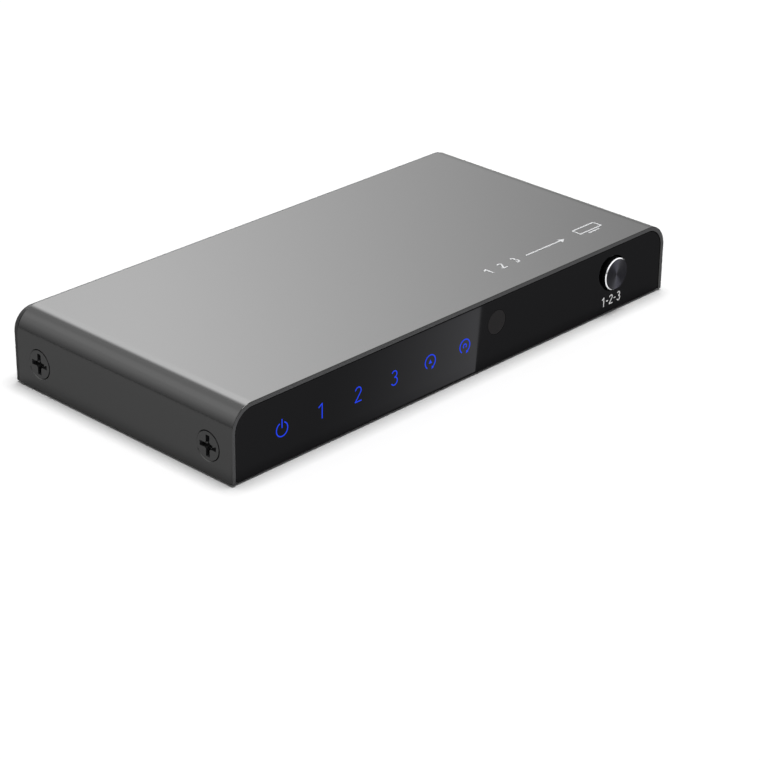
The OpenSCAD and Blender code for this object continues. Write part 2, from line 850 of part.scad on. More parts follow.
module switch_frame() {
    low = board_z - pin_stub;
    y = switch_front + switch_d;
    color(tin) {
        on_board(button_x, y + frame_t / 2, [switch_w, frame_t, 2 * switch_half_h]);
        for (s = [-1, 1])
            translate([button_x + s * (switch_w - leg_w) / 2 - leg_w / 2, y, low])
                cube([leg_w, frame_t, button_z - low]);
    }
}

module switch_plunger() {
    color(soft_black) {
        axis_y(button_x, plunger_front, button_z)
            cylinder(h = plunger_back - plunger_front, r = plunger_d / 2);
        axis_y(button_x, plunger_collar, button_z)
            cylinder(h = plunger_lip_t, r = plunger_d / 2 + plunger_lip);
    }
}

module switch_dome() {
    ball_r = (dome_r * dome_r + dome_rise * dome_rise) / (2 * dome_rise);
    color(tin) axis_y(button_x, cavity_back, button_z) intersection() {
        translate([0, 0, ball_r - dome_rise]) difference() {
            sphere(ball_r);
            sphere(ball_r - dome_t);
        }
        translate([0, 0, -ball_r]) cylinder(h = ball_r, r = ball_r);
    }
}

module button_cap() {
    r = button_d / 2;
    color(soft_black) axis_y(button_x, cap_front, button_z) rotate_extrude()
        polygon([
            [0, 0], [r - cap_chamfer, 0], [r, cap_chamfer], [r, cap_len], [plug_d / 2, cap_len],
            [plug_d / 2, cap_face_t], [0, cap_face_t]
        ]);
}

module button_stem() {
    plug_front = cap_front + cap_face_t + plug_gap;
    color(soft_black) {
        axis_y(button_x, plug_front, button_z)
            cylinder(h = flange_back - plug_front, r = plug_d / 2 - plug_gap);
        axis_y(button_x, cap_back + plug_gap, button_z)
            cylinder(h = flange_back - cap_back - plug_gap, r = button_d / 2);
        axis_y(button_x, flange_front, button_z) cylinder(h = flange_t, r = flange_r);
        axis_y(button_x, flange_front, button_z) cylinder(h = pusher_end - flange_front, r = pusher_r);
    }
}

top_cover();
base_tray();
rear_panel();
front_panel();
panel_tape();
ir_window();
cover_screws();
rubber_feet();
main_board();
board_standoffs();
board_screws();
socket_shell(socket_x[0]);  // input_1_shell
socket_insulator(socket_x[0]);  // input_1_insulator
socket_contacts(socket_x[0]);  // input_1_contacts
socket_shell(socket_x[1]);  // input_2_shell
socket_insulator(socket_x[1]);  // input_2_insulator
socket_contacts(socket_x[1]);  // input_2_contacts
socket_shell(socket_x[2]);  // input_3_shell
socket_insulator(socket_x[2]);  // input_3_insulator
socket_contacts(socket_x[2]);  // input_3_contacts
socket_shell(socket_x[3]);  // output_shell
socket_insulator(socket_x[3]);  // output_insulator
socket_contacts(socket_x[3]);  // output_contacts
power_jack_body();
power_jack_pin();
power_jack_spring();
switch_chip();
signal_boosters();
control_chip();
memory_chips();
regulator();
inductor();
capacitors();
crystal();
ir_receiver();
ir_receiver_leads();
indicator_lamps();
light_guides();
light_holder();
switch_body();
switch_frame();
switch_plunger();
switch_dome();
button_cap();
button_stem();
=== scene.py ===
# %% [markdown]
# # A slim video switch box
# The box is a flat metal housing: a sheet bent into a low tunnel, a tray that slides into it from below, a
# glossy black front with lit marks, one turned push button, and sockets along the back. The solid model is
# loaded first, as a fixed frame. Each visible piece is then modelled on the frame, at the place and size
# that its solid has, and gets a finish made from shader nodes.

import math
from contextlib import contextmanager

import bmesh
import bpy
from mathutils import Matrix, Vector


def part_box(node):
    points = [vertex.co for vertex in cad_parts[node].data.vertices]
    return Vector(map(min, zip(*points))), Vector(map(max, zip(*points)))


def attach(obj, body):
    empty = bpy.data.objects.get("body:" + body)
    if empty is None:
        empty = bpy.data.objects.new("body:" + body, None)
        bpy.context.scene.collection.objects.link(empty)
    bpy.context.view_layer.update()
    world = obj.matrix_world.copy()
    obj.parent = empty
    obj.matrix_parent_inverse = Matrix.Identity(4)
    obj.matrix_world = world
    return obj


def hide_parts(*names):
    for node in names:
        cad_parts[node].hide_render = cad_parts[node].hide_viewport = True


MM = 0.001
X, Y, Z = 0, 1, 2
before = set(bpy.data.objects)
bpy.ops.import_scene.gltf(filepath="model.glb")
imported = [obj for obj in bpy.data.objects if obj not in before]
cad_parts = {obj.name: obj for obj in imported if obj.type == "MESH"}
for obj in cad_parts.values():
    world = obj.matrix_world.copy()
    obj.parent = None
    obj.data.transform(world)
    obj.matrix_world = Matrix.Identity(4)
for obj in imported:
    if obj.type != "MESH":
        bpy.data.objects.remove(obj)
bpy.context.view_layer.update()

# %% [markdown]
# ## The camera
# The photograph looks down on the box from its front left corner with a long lens. The box's straight edges
# and screw centres were fitted to the picture, which gives the turn, the height and the distance. A long
# lens far away keeps the edges almost parallel, as here.

# %% Place the camera
LENS = 120.41
CAMERA_AT = Vector((-350.68, -342.79, 230.35)) * MM
PAN, TIP, ROLL = -46.320, 90 - 26.190, 0.561
camera_data = bpy.data.cameras.new("camera")
camera_data.lens = LENS
camera = bpy.data.objects.new("camera", camera_data)
pan = Matrix.Rotation(math.radians(PAN), 4, "Z")
tip = Matrix.Rotation(math.radians(TIP), 4, "X")
roll = Matrix.Rotation(math.radians(ROLL), 4, "Z")
camera.matrix_world = Matrix.Translation(CAMERA_AT) @ pan @ tip @ roll
bpy.context.scene.collection.objects.link(camera)
bpy.context.scene.camera = camera
print("camera:", [round(value / MM, 1) for value in camera.matrix_world.translation], "mm")

# %% [markdown]
# ## Tools for modelling
# Blender's operators act on whatever is selected, so each helper first leaves nothing selected. A primitive
# is added at its size and place, and its place is applied to the mesh at once. Inside edit mode, faces and
# edges are then found by where they are or which way they look, as one would click on them.


# %% Select and edit
def activate(piece):
    """Make one piece the only selected and the active object."""
    bpy.ops.object.select_all(action="DESELECT")
    piece.select_set(True)
    bpy.context.view_layer.objects.active = piece


@contextmanager
def editing(piece):
    """Edit mode on one piece."""
    activate(piece)
    bpy.ops.object.mode_set(mode="EDIT")
    yield
    bpy.ops.object.mode_set(mode="OBJECT")


def pick(kind, wanted):
    """Select the EDGE or FACE elements in edit mode that wanted() says yes to, and count them."""
    bpy.ops.mesh.select_mode(type=kind)
    bpy.ops.mesh.select_all(action="DESELECT")
    data = bpy.context.edit_object.data
    mesh = bmesh.from_edit_mesh(data)
    mesh.normal_update()
    found = [part for part in (mesh.edges if kind == "EDGE" else mesh.faces) if wanted(part)]
    for part in found:
        part.select_set(True)
    mesh.select_flush_mode()
    bmesh.update_edit_mesh(data)
    return len(found)


def same(a, b):
    """True for two lengths that agree to a hundredth of a millimetre."""
    return abs(a - b) < 0.01 * MM


def edge_lies(edge, axis, value):
    """True for an edge whose two ends are both at value along one axis."""
    return all(same(vert.co[axis], value) for vert in edge.verts)


def edge_runs(edge, axis):
    """True for an edge that runs along one axis."""
    line = edge.verts[1].co - edge.verts[0].co
    return abs(line[axis]) > 0.999 * line.length


def face_looks(face, axis, way):
    """True for a face that looks along one axis, forwards for 1 and backwards for -1."""
    return face.normal[axis] * way > 0.9


# %% Shape what is selected
def bevel(width, segments):
    """Bevel the selected edges by a width in millimetres."""
    bpy.ops.mesh.bevel(offset=width * MM, segments=segments, affect="EDGES")


def extrude(x, y, z):
    """Push the selected faces out by a distance in millimetres."""
    bpy.ops.mesh.extrude_region_move(TRANSFORM_OT_translate={"value": (x * MM, y * MM, z * MM)})


# %% [markdown]
# ## Primitives and modifiers
# A block is a cube stretched to two corners, and a rod is a cylinder between two depths of one axis. Both
# are only starts. Modifiers finish a shape: solidify gives a bent sheet its thickness, a boolean drills.


# %% Start a piece
def settle(name):
    """Name the new primitive, and put its place and size into its mesh."""
    piece = bpy.context.object
    piece.name = piece.data.name = name
    bpy.ops.object.transform_apply(location=True, rotation=True, scale=True)
    return piece


def add_block(name, low, high):
    """A block between two corners."""
    bpy.ops.object.select_all(action="DESELECT")
    low, high = Vector(low), Vector(high)
    bpy.ops.mesh.primitive_cube_add(size=1, location=(low + high) / 2, scale=high - low)
    return settle(name)


AXIS_TURN = {"X": (0, math.pi / 2, 0), "Y": (-math.pi / 2, 0, 0), "Z": (0, 0, 0)}


def add_rod(name, axis, start, length, radius, end_radius=None, vertices=64):
    """A rod or cone from a point, along the positive direction of one axis."""
    bpy.ops.object.select_all(action="DESELECT")
    middle = Vector(start)
    middle["XYZ".index(axis)] += length / 2
    bpy.ops.mesh.primitive_cone_add(
        vertices=vertices,
        radius1=radius,
        radius2=radius if end_radius is None else end_radius,
        depth=length,
        location=middle,
        rotation=AXIS_TURN[axis],
    )
    return settle(name)


# %% Change a piece
def change(piece, kind, **settings):
    """Add one modifier and apply it."""
    activate(piece)
    modifier = piece.modifiers.new(kind, kind)
    for name, value in settings.items():
        setattr(modifier, name, value)
    bpy.ops.object.modifier_apply(modifier=modifier.name)


def cut(piece, *cutters):
    """Take the cutters' shapes out of a piece, and throw the cutters away."""
    for cutter in cutters:
        change(piece, "BOOLEAN", object=cutter, operation="DIFFERENCE", solver="EXACT")
        bpy.data.objects.remove(cutter)


def weld(*pieces):
    """Make one solid from pieces that reach into each other."""
    for other in pieces[1:]:
        change(pieces[0], "BOOLEAN", object=other, operation="UNION", solver="EXACT")
        bpy.data.objects.remove(other)
    return pieces[0]


# %% [markdown]
# ## Handing a piece over
# Every finished piece is shaded smooth with its real edges kept sharp, moves with one body of the frame,
# and stands for its solid.


# %% Finish a piece
def smooth(piece, angle=35):
    """Smooth shading up to an angle, with the large flat faces keeping their own direction."""
    activate(piece)
    bpy.ops.object.shade_smooth_by_angle(angle=math.radians(angle))
    change(piece, "WEIGHTED_NORMAL", keep_sharp=True, weight=80)


def paint(piece, *finishes):
    """Give a piece its finishes: the first one everywhere, and the others where their test says yes."""
    piece.data.materials.clear()
    for number, finish in enumerate(finishes):
        material, wanted = finish if isinstance(finish, tuple) else (finish, None)
        piece.data.materials.append(material)
        for face in piece.data.polygons:
            if wanted is None or wanted(face):
                face.material_index = number


def hand_over(piece, body, slot, *nodes):
    """Join a piece to its body and its solids, and say so. The slot is not used."""
    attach(piece, body)
    if nodes:
        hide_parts(*nodes)
    print(f"{piece.name}: {len(piece.data.polygons)} faces on {body}, for {', '.join(nodes) or 'no solid'}")


def copy_piece(piece, name, move=(0, 0, 0), turn=0):
    """A copy with its own mesh, turned about the upright axis in degrees, then moved in millimetres."""
    activate(piece)
    bpy.ops.object.duplicate()
    copy = bpy.context.object
    copy.rotation_euler.z = math.radians(turn)
    copy.location = Vector(move) * MM
    return settle(name)


# %% [markdown]
# ## Tools for finishes
# Colours are written as sRGB hex values, as a paint chart gives them, and the shader wants linear light.
# One helper turns them, one starts a Principled material, and one adds a node. A link is given as another
# node's output, and a constant as a plain value.


# %% Make a finish
def linear(text):
    """Linear colour of an sRGB hex value."""
    parts = [int(text[i : i + 2], 16) / 255 for i in (1, 3, 5)]
    return [p / 12.92 if p <= 0.04045 else ((p + 0.055) / 1.055) ** 2.4 for p in parts] + [1]


def fill(tree, node, sockets):
    """Set or link a node's sockets."""
    for name, value in sockets.items():
        if isinstance(value, bpy.types.NodeSocket):
            tree.links.new(value, node.inputs[name])
        else:
            node.inputs[name].default_value = value


def add_node(tree, kind, sockets, **settings):
    """Add a shader node, with its settings, and values or links for its sockets by name or number."""
    node = tree.nodes.new("ShaderNode" + kind)
    for name, value in settings.items():
        setattr(node, name, value)
    fill(tree, node, sockets)
    return node


def new_finish(name, **constants):
    """A new Principled material: its node tree, its shader and its object coordinates."""
    material = bpy.data.materials.new(name)
    material.use_nodes = True
    tree = material.node_tree
    shader = tree.nodes["Principled BSDF"]
    fill(tree, shader, {key.replace("_", " "): value for key, value in constants.items()})
    place = add_node(tree, "TexCoord", {}).outputs["Object"]
    print("finish:", name)
    return material, tree, shader, place


# %% [markdown]
# ## Finish: bead-blasted, anodised aluminium
# The cover is aluminium sheet, blasted with fine glass beads and anodised dark grey. Blasting leaves dimples
# of about a tenth of a millimetre that scatter a reflection softly and evenly. They are finer than one pixel
# here, so they are drawn at 0.25 mm and very shallow. A slower drift in roughness keeps the top from looking
# like a computed grey. The ends of the sheet were sawn and not blasted: they are rougher and a shade paler.

# %% Blasted faces
EDGE_TINT = linear("#c5c5c5")
cover_finish, tree, shader, place = new_finish(
    "bead_blasted_anodised_aluminium",
    Base_Color=linear("#414141"),
    Metallic=1,
    Roughness=0.17,
    Specular_Tint=EDGE_TINT,
)
dimples = add_node(tree, "TexNoise", {"Vector": place, "Scale": 1 / (0.25 * MM), "Detail": 3})
drift = add_node(tree, "TexNoise", {"Vector": place, "Scale": 1 / (18 * MM), "Detail": 2})
blend = add_node(tree, "Math", {0: dimples.outputs["Fac"], 1: drift.outputs["Fac"]}, operation="ADD")
rough = add_node(
    tree, "MapRange", {"Value": blend.outputs[0], "From Max": 2, "To Min": 0.155, "To Max": 0.185}
)
bump = add_node(tree, "Bump", {"Height": dimples.outputs["Fac"], "Strength": 0.1, "Distance": 0.01 * MM})
fill(tree, shader, {"Roughness": rough.outputs[0], "Normal": bump.outputs[0]})

# %% Sawn ends
sawn_finish, tree, shader, place = new_finish(
    "sawn_anodised_aluminium",
    Base_Color=linear("#4a4a4b"),
    Metallic=1,
    Roughness=0.3,
    Specular_Tint=EDGE_TINT,
)
scratches = add_node(tree, "TexNoise", {"Vector": place, "Scale": 1 / (0.2 * MM), "Detail": 3})
rough = add_node(tree, "MapRange", {"Value": scratches.outputs["Fac"], "To Min": 0.24, "To Max": 0.36})
fill(tree, shader, {"Roughness": rough.outputs[0]})

# %% [markdown]
# ## The cover
# The real cover is one sheet bent twice over a round tool. It could be an extruded outline, but a block whose
# two long top edges are bevelled round, opened below and at both ends and given a sheet's thickness is
# closer to how it is made. Its cut edges are then rounded a little, and cones sink the screw holes.

# %% Bend the sheet
BEND = 5.6
SHEET = 1.0
cover_low, cover_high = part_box("top_cover")
cover = add_block("cover", cover_low, cover_high)
with editing(cover):
    pick("EDGE", lambda edge: edge_runs(edge, Y) and edge_lies(edge, Z, cover_high.z))
    bevel(BEND, 24)
    pick("FACE", lambda face: face_looks(face, Z, -1) or face_looks(face, Y, -1) or face_looks(face, Y, 1))
    bpy.ops.mesh.delete(type="FACE")
change(cover, "SOLIDIFY", thickness=SHEET * MM, offset=-1, use_even_offset=True)
print("sheet:", len(cover.data.polygons), "faces")


# %% Round the cut edges
def sheet_depth(point):
    """How deep a point lies under the cover's outside."""
    over = Vector((abs(point.x) - (cover_high.x - BEND * MM), point.z - (cover_high.z - BEND * MM)))
    if min(over) > 0:
        return BEND * MM - over.length
    return min(cover_high.x - abs(point.x), cover_high.z - point.z)


def rim(edge, depth):
    """True for an edge along an end or the lower rim of the sheet, at a depth under its outside."""
    at_end = edge_lies(edge, Y, cover_low.y) or edge_lies(edge, Y, cover_high.y)
    if not at_end and not edge_lies(edge, Z, cover_low.z):
        return False
    return all(abs(sheet_depth(vert.co) - depth) < 0.05 * MM for vert in edge.verts)


with editing(cover):
    outside = pick("EDGE", lambda edge: rim(edge, 0))
    bevel(0.18, 3)
    inside = pick("EDGE", lambda edge: rim(edge, SHEET * MM))
    bevel(0.1, 1)
print("rounded edges:", outside, "outside,", inside, "inside")

# %% Sink the screw holes
SCREW_Y = (-25.0, 25.0)
SCREW_Z = 6.5
SINK_R = 3.36
SINK_OUT, SINK_IN = 1, 1.75
wall = cover_high.x / MM
wide, narrow = (SINK_R + SINK_OUT) * MM, (SINK_R - SINK_IN) * MM
for start, radii in ((-wall - SINK_OUT, (wide, narrow)), (wall - SINK_IN, (narrow, wide))):
    for y in SCREW_Y:
        point = Vector((start, y, SCREW_Z)) * MM
        cut(cover, add_rod("cone", "X", point, (SINK_OUT + SINK_IN) * MM, *radii))


def off_screw(point):
    """How far a point lies from the nearest screw's axis."""
    return min(math.hypot(point.y - y * MM, point.z - SCREW_Z * MM) for y in SCREW_Y)


def hole_rim(edge):
    """True for the outer edge of a screw hole."""
    on_wall = all(same(abs(vert.co.x), cover_high.x) for vert in edge.verts)
    return on_wall and all(same(off_screw(vert.co), SINK_R * MM) for vert in edge.verts)


with editing(cover):
    print("hole rims:", pick("EDGE", hole_rim), "edges")
    bevel(0.07, 1)


# %% Finish the cover
def sawn_end(face):
    """True for the flat front and back ends of the sheet."""
    return abs(face.normal.y) > 0.98 and abs(face.center.y) > cover_high.y - 0.1 * MM


smooth(cover)
paint(cover, cover_finish, (sawn_finish, sawn_end))
hand_over(cover, "box", "cover_metal", "top_cover")

# %% [markdown]
# ## Finish: blackened screw steel
# The cover screws are steel with a thin dark coat. It has the colour of the cover, and is a little rougher
# because the head was turned and not blasted. A fine noise of 0.15 mm breaks the coat up. The walls of the
# recess and the rim around the head are painted near black, as painted shade for the dark gaps there.

# %% Thin coat and painted shade
screw_finish, tree, shader, place = new_finish(
    "blackened_screw_steel",
    Base_Color=linear("#414141"),
    Metallic=1,
    Roughness=0.2,
    Specular_Tint=EDGE_TINT,
)
coat_and_shade_noise = add_node(tree, "TexNoise", {"Vector": place, "Scale": 1 / (0.15 * MM), "Detail": 3})
rough = add_node(tree, "MapRange", {"Value": coat_and_shade_noise.outputs["Fac"], "To Min": 0.16, "To Max": 0.24})
bump = add_node(tree, "Bump", {"Height": coat_and_shade_noise.outputs["Fac"], "Strength": 0.15, "Distance": 0.01 * MM})
fill(tree, shader, {"Roughness": rough.outputs[0], "Normal": bump.outputs[0]})

# Painted shade: a near-black finish for the recess walls and the head's rim, where the gaps are dark.
recess_shade_finish, tree, shader, place = new_finish("painted_shade_black", Roughness=0.6, Specular_IOR_Level=0.2)
coat_and_shade_noise = add_node(tree, "TexNoise", {"Vector": place, "Scale": 1 / (0.15 * MM), "Detail": 3})
tone = add_node(tree, "MixRGB", {0: coat_and_shade_noise.outputs["Fac"], 1: linear("#0b0b0c"), 2: linear("#17171a")})
fill(tree, shader, {"Base Color": tone.outputs[0]})

# %% [markdown]
# ## The cover screws
# Each screw has a countersunk head that lies level with the wall, with a cross recess that narrows towards
# its bottom. The head starts as a cone. Its small end is drawn out into the shaft, the rim of the head is
# rounded, and two tapered bars and a cone in their middle cut the recess. The walls of the recess and the rim
# are painted near black as painted shade, and its floor keeps the grey of the head. One screw is modelled
# and three are copied.

# %% Model one screw
HEAD_X = -64.95
HEAD_R, SHAFT_R = 3.2, 1.5
HEAD_LENGTH, SHAFT_LENGTH, TIP_LENGTH = 1.6, 3.95, 0.5
BAR_DEEP, BAR_LONG, BAR_WIDE = 0.6, 2.5, 0.57
head = Vector((HEAD_X, SCREW_Y[0], SCREW_Z)) * MM


def recess_bar(half_y, half_z):
    """One bar of the cross, narrower at its inner end."""
    half = Vector((BAR_DEEP, half_y, half_z))
    middle = Vector((HEAD_X + 0.1, SCREW_Y[0], SCREW_Z))
    bar = add_block("bar", (middle - half) * MM, (middle + half) * MM)
    with editing(bar):
        pick("FACE", lambda face: face_looks(face, X, 1))
        bpy.ops.transform.resize(value=(1, 0.8, 0.8))
    return bar


screw = add_rod("screw_front_left", "X", head, HEAD_LENGTH * MM, HEAD_R * MM, SHAFT_R * MM)
with editing(screw):
    pick("FACE", lambda face: face_looks(face, X, 1))
    extrude(SHAFT_LENGTH, 0, 0)
    extrude(TIP_LENGTH, 0, 0)
    bpy.ops.transform.resize(value=(1, 0.67, 0.67))
    pick("EDGE", lambda edge: edge_lies(edge, X, head.x))
    bevel(0.2, 2)
point = add_rod("point", "X", head - Vector((0.2, 0, 0)) * MM, 1.05 * MM, 1.05 * MM, 0.65 * MM)
cut(screw, recess_bar(BAR_LONG, BAR_WIDE), recess_bar(BAR_WIDE, BAR_LONG), point)


# %% Finish the screw
def gets_painted_shade(face):
    """True for the walls of the recess and for the rounded rim of the head, not for the recess's floor: these
    faces take painted shade.
    """
    off = math.hypot(face.center.y - head.y, face.center.z - head.z)
    deep = face.center.x - head.x
    placed = 0.01 * MM < deep < 1 * MM and (off < 2.6 * MM or off > 2.9 * MM)
    return placed and -0.97 < face.normal.x < 0.6


smooth(screw)
# The recess walls and the rim of the head take the painted shade.
paint(screw, screw_finish, (recess_shade_finish, gets_painted_shade))

# %% Copy the screw
back = SCREW_Y[1] - SCREW_Y[0]
screws = [
    screw,
    copy_piece(screw, "screw_back_left", (0, back, 0)),
    copy_piece(screw, "screw_front_right", (0, -back, 0), 180),
    copy_piece(screw, "screw_back_right", (0, 0, 0), 180),
]
for piece in screws:
    hand_over(piece, "box", "screw_black", "cover_screws")

# %% [markdown]
# ## Finish: hard-coated acrylic
# The front is black acrylic with a hard, clear coat. To the eye it is a faint, even mirror over black, with
# hardly any grain. Gloss on plastic grows strong at flat angles, more than the photograph shows, so the
# mirror is made as a dark metal whose edge tint holds the reflection down. A faint haze, as left by wiping,
# changes the roughness slowly.

# %% Gloss black
panel_finish, tree, shader, place = new_finish(
    "hard_coated_black_acrylic",
    Base_Color=linear("#1d1d1e"),
    Metallic=1,
    Roughness=0.06,
    Specular_Tint=linear("#bcbcbc"),
)
haze = add_node(tree, "TexNoise", {"Vector": place, "Scale": 1 / (9 * MM), "Detail": 4})
rough = add_node(tree, "MapRange", {"Value": haze.outputs["Fac"], "To Min": 0.05, "To Max": 0.08})
fill(tree, shader, {"Roughness": rough.outputs[0]})

# %% [markdown]
# ## The front panel
# The panel fills the mouth of the cover: round upper corners that follow the bend, and small lower ones. It
# is a block with its four corners bevelled, the edge of its face rounded, and two round holes drilled, for
# the button and for the window of the receiver.

# %% Shape the panel
panel_low, panel_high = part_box("front_panel")
panel_low.z = cover_low.z + 0.04 * MM
panel = add_block("panel", panel_low, panel_high)
with editing(panel):
    pick("EDGE", lambda edge: edge_runs(edge, Y) and edge_lies(edge, Z, panel_high.z))
    bevel(4.48, 20)
    pick("EDGE", lambda edge: edge_runs(edge, Y) and edge_lies(edge, Z, panel_low.z))
    bevel(0.9, 8)
    pick("EDGE", lambda edge: edge_lies(edge, Y, panel_low.y))
    bevel(0.12, 3)
print("panel:", len(panel.data.polygons), "faces")


# %% Drill the panel
def centre(node):
    """The middle of a solid's box."""
    low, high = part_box(node)
    return (low + high) / 2


def drill(piece, middle, radius, start, length):
    """A round hole along the depth of the box."""
    cut(piece, add_rod("drill", "Y", (middle.x, start, middle.z), length, radius, vertices=128))


BUTTON = centre("button_cap")
WINDOW = centre("ir_window")
drill(panel, BUTTON, 4.05 * MM, panel_low.y - 1 * MM, 4 * MM)
drill(panel, WINDOW, 2.75 * MM, panel_low.y - 1 * MM, 4 * MM)
smooth(panel)
paint(panel, panel_finish)
hand_over(panel, "box", "panel_gloss", "front_panel")

# %% [markdown]
# ## The receiver's window
# Infrared light enters through a disc of smoked polycarbonate, almost as dark as the panel, so only its edge
# shows. It is a rod with a rounded rim. The smoke is uneven at a scale of a few millimetres.

# %% Window and its finish
window_finish, tree, shader, place = new_finish(
    "smoked_polycarbonate", Base_Color=linear("#0b070a"), Roughness=0.12, Specular_IOR_Level=0.1
)
smoke = add_node(tree, "TexNoise", {"Vector": place, "Scale": 1 / (3 * MM), "Detail": 2})
tint = add_node(tree, "MixRGB", {0: smoke.outputs["Fac"], 1: linear("#090608"), 2: linear("#0e090c")})
fill(tree, shader, {"Base Color": tint.outputs[0]})

window_face = WINDOW.x, panel_low.y, WINDOW.z
window = add_rod("receiver_window", "Y", window_face, 2 * MM, 2.7 * MM, vertices=96)
with editing(window):
    pick("EDGE", lambda edge: edge_lies(edge, Y, panel_low.y))
    bevel(0.1, 2)
smooth(window)
paint(window, window_finish)
hand_over(window, "box", "window_smoke", "ir_window")

# %% [markdown]
# ## Finish: lit ink and print
# The marks are clear gaps in the panel's black print, lit from behind by blue lamps. They glow evenly and
# light nothing around them. The label below the button is plain white ink. Both are drawn as films a few
# hundredths of a millimetre thick, with the faint mottling of screen print.

# %% Lit ink and white ink
lit_finish, tree, shader, place = new_finish(
    "back_lit_blue_ink",
    Base_Color=linear("#05081a"),
    Roughness=0.5,
    Specular_IOR_Level=0.03,
    Emission_Strength=1,
)
mottle = add_node(tree, "TexNoise", {"Vector": place, "Scale": 1 / (0.4 * MM), "Detail": 2})
glow = add_node(tree, "MixRGB", {0: mottle.outputs["Fac"], 1: linear("#1f3ee6"), 2: linear("#2547f4")})
fill(tree, shader, {"Emission Color": glow.outputs[0]})

ink_finish, tree, shader, place = new_finish(
    "white_screen_print", Base_Color=linear("#f2f2f2"), Roughness=0.45
)
mottle = add_node(tree, "TexNoise", {"Vector": place, "Scale": 1 / (0.3 * MM), "Detail": 2})
tone = add_node(tree, "MixRGB", {0: mottle.outputs["Fac"], 1: linear("#e8e8e8"), 2: linear("#fafafa")})
fill(tree, shader, {"Base Color": tone.outputs[0]})

# %% [markdown]
# ## Films of ink
# Marks, label and sign are drawn as with a pen: straight strokes, parts of rings and arrow heads. A stroke is
# a plane, a ring is a disc that is inset and opened, and an arrow head is a disc of three corners. Each lies
# flat at first, drawn with a metre for each millimetre. It gets a film's thickness, the parts are welded, and
# the mark is made small, turned and laid on its face.


# %% Draw flat marks
def place_flat(middle, turn=0, stretch=(1, 1)):
    """Stretch the new flat primitive, turn it in degrees, and put it at a place."""
    part = bpy.context.object
    part.scale = (*stretch, 1)
    part.rotation_euler.z = math.radians(turn)
    part.location = (*middle, 0)
    return settle("stroke")


def stroke(start, end, width):
    """A straight stroke from one point to another."""
    line = Vector(end) - Vector(start)
    middle = (Vector(start) + Vector(end)) / 2
    bpy.ops.object.select_all(action="DESELECT")
    bpy.ops.mesh.primitive_plane_add(size=1)
    return place_flat(middle, math.degrees(math.atan2(line.y, line.x)), (line.length, width))


def disc(corners, radius, middle, turn=0):
    """A flat disc with a number of corners."""
    bpy.ops.object.select_all(action="DESELECT")
    bpy.ops.mesh.primitive_circle_add(vertices=corners, radius=radius, fill_type="NGON")
    return place_flat(middle, turn)


def ring(radius, width, gap_at, gap, middle=(0, 0)):
    """A ring with a gap, given by the direction and the size of the gap in degrees."""
    part = disc(90, radius, (0, 0))
    toward = Vector((math.cos(math.radians(gap_at)), math.sin(math.radians(gap_at)), 0))
    with editing(part):
        bpy.ops.mesh.select_all(action="SELECT")
        bpy.ops.mesh.inset(thickness=width)
        bpy.ops.mesh.delete(type="FACE")
        pick("FACE", lambda face: face.calc_center_median().angle(toward) < math.radians(gap / 2))
        bpy.ops.mesh.delete(type="FACE")
    activate(part)
    return place_flat(middle)


def arrow_head(middle, size, heading):
    """A triangle that points along a heading in degrees."""
    return disc(3, size, middle, heading - 90)


# %% Draw figures
def digit(number, height, width, x=0):
    """The strokes of one figure, 1 to 3, around a place on the line."""
    top, low = height / 2, width / 2 - height / 2
    if number == 1:
        stem = x + 0.09 * height
        return [
            stroke((stem, -top), (stem, top), width),
            stroke((stem, top - 0.4 * width), (x - 0.2 * height, 0.27 * height), width),
        ]
    if number == 2:
        bowl = 0.27 * height
        bend = math.radians(-38)
        start = Vector((x, top - bowl)) + Vector((math.cos(bend), math.sin(bend))) * (bowl - width / 2)
        return [
            ring(bowl, width, 246, 152, (x, top - bowl)),
            stroke(start, (x - 0.25 * height, low), width),
            stroke((x - 0.28 * height, low), (x + 0.27 * height, low), width),
        ]
    upper, lower = 0.25 * height, 0.29 * height
    return [
        ring(upper, width, 212, 116, (x, top - upper)),
        ring(lower, width, 148, 116, (x, lower - top)),
    ]


# %% [markdown]
# ## Marks on the front
# From the left: standby, the three inputs, and two signs for switching by itself and from a distance. The
# signs inside the two rings are plain shapes. The films stand a few hundredths of a millimetre out of the
# panel, enough to lie on it cleanly. The label under the button tells that it steps through the inputs.

# %% Lay films on a face
FILM = 0.03


def lay(name, parts, middle, upright=True):
    """Give flat parts a film's thickness, weld them, and lay them on the panel or on the top."""
    for part in parts:
        with editing(part):
            bpy.ops.mesh.select_all(action="SELECT")
            extrude(0, 0, FILM / MM)
        with editing(part):
            bpy.ops.mesh.select_all(action="SELECT")
            bpy.ops.mesh.normals_make_consistent(inside=False)
    piece = weld(*parts)
    piece.scale = (MM, MM, MM)
    piece.rotation_euler.x = math.pi / 2 if upright else 0
    piece.location = middle
    activate(piece)
    return settle(name)


def on_panel(x, z):
    """A point of the panel's face."""
    return Vector((x * MM, panel_low.y, z * MM))


# %% Light the marks
MARK_Z = 7.79
PEN = 0.24
RING_R = 1.62
FIGURE = 3.35


def turning_ring():
    """An open ring that ends in an arrow head."""
    return [ring(RING_R, PEN, 264, 58), arrow_head((0.66, -1.42), 0.42, 232)]


standby = [ring(RING_R, PEN, 90, 50), stroke((0, 0.3), (0, 2.2), PEN)]
marks = [lay("mark_standby", standby, on_panel(-51.8, MARK_Z - 0.12))]
for number, x in ((1, -41.3), (2, -31.0), (3, -20.75)):
    marks.append(lay(f"mark_{number}", digit(number, FIGURE, PEN), on_panel(x, MARK_Z)))
by_itself = turning_ring() + [arrow_head((0, -0.1), 0.55, 90)]
marks.append(lay("mark_auto", by_itself, on_panel(-10.25, MARK_Z)))
from_afar = turning_ring() + [ring(0.58, PEN, 270, 90)]
marks.append(lay("mark_remote", from_afar, on_panel(0.1, MARK_Z)))
for piece in marks:
    paint(piece, lit_finish)
    hand_over(piece, "box", "guide_clear")

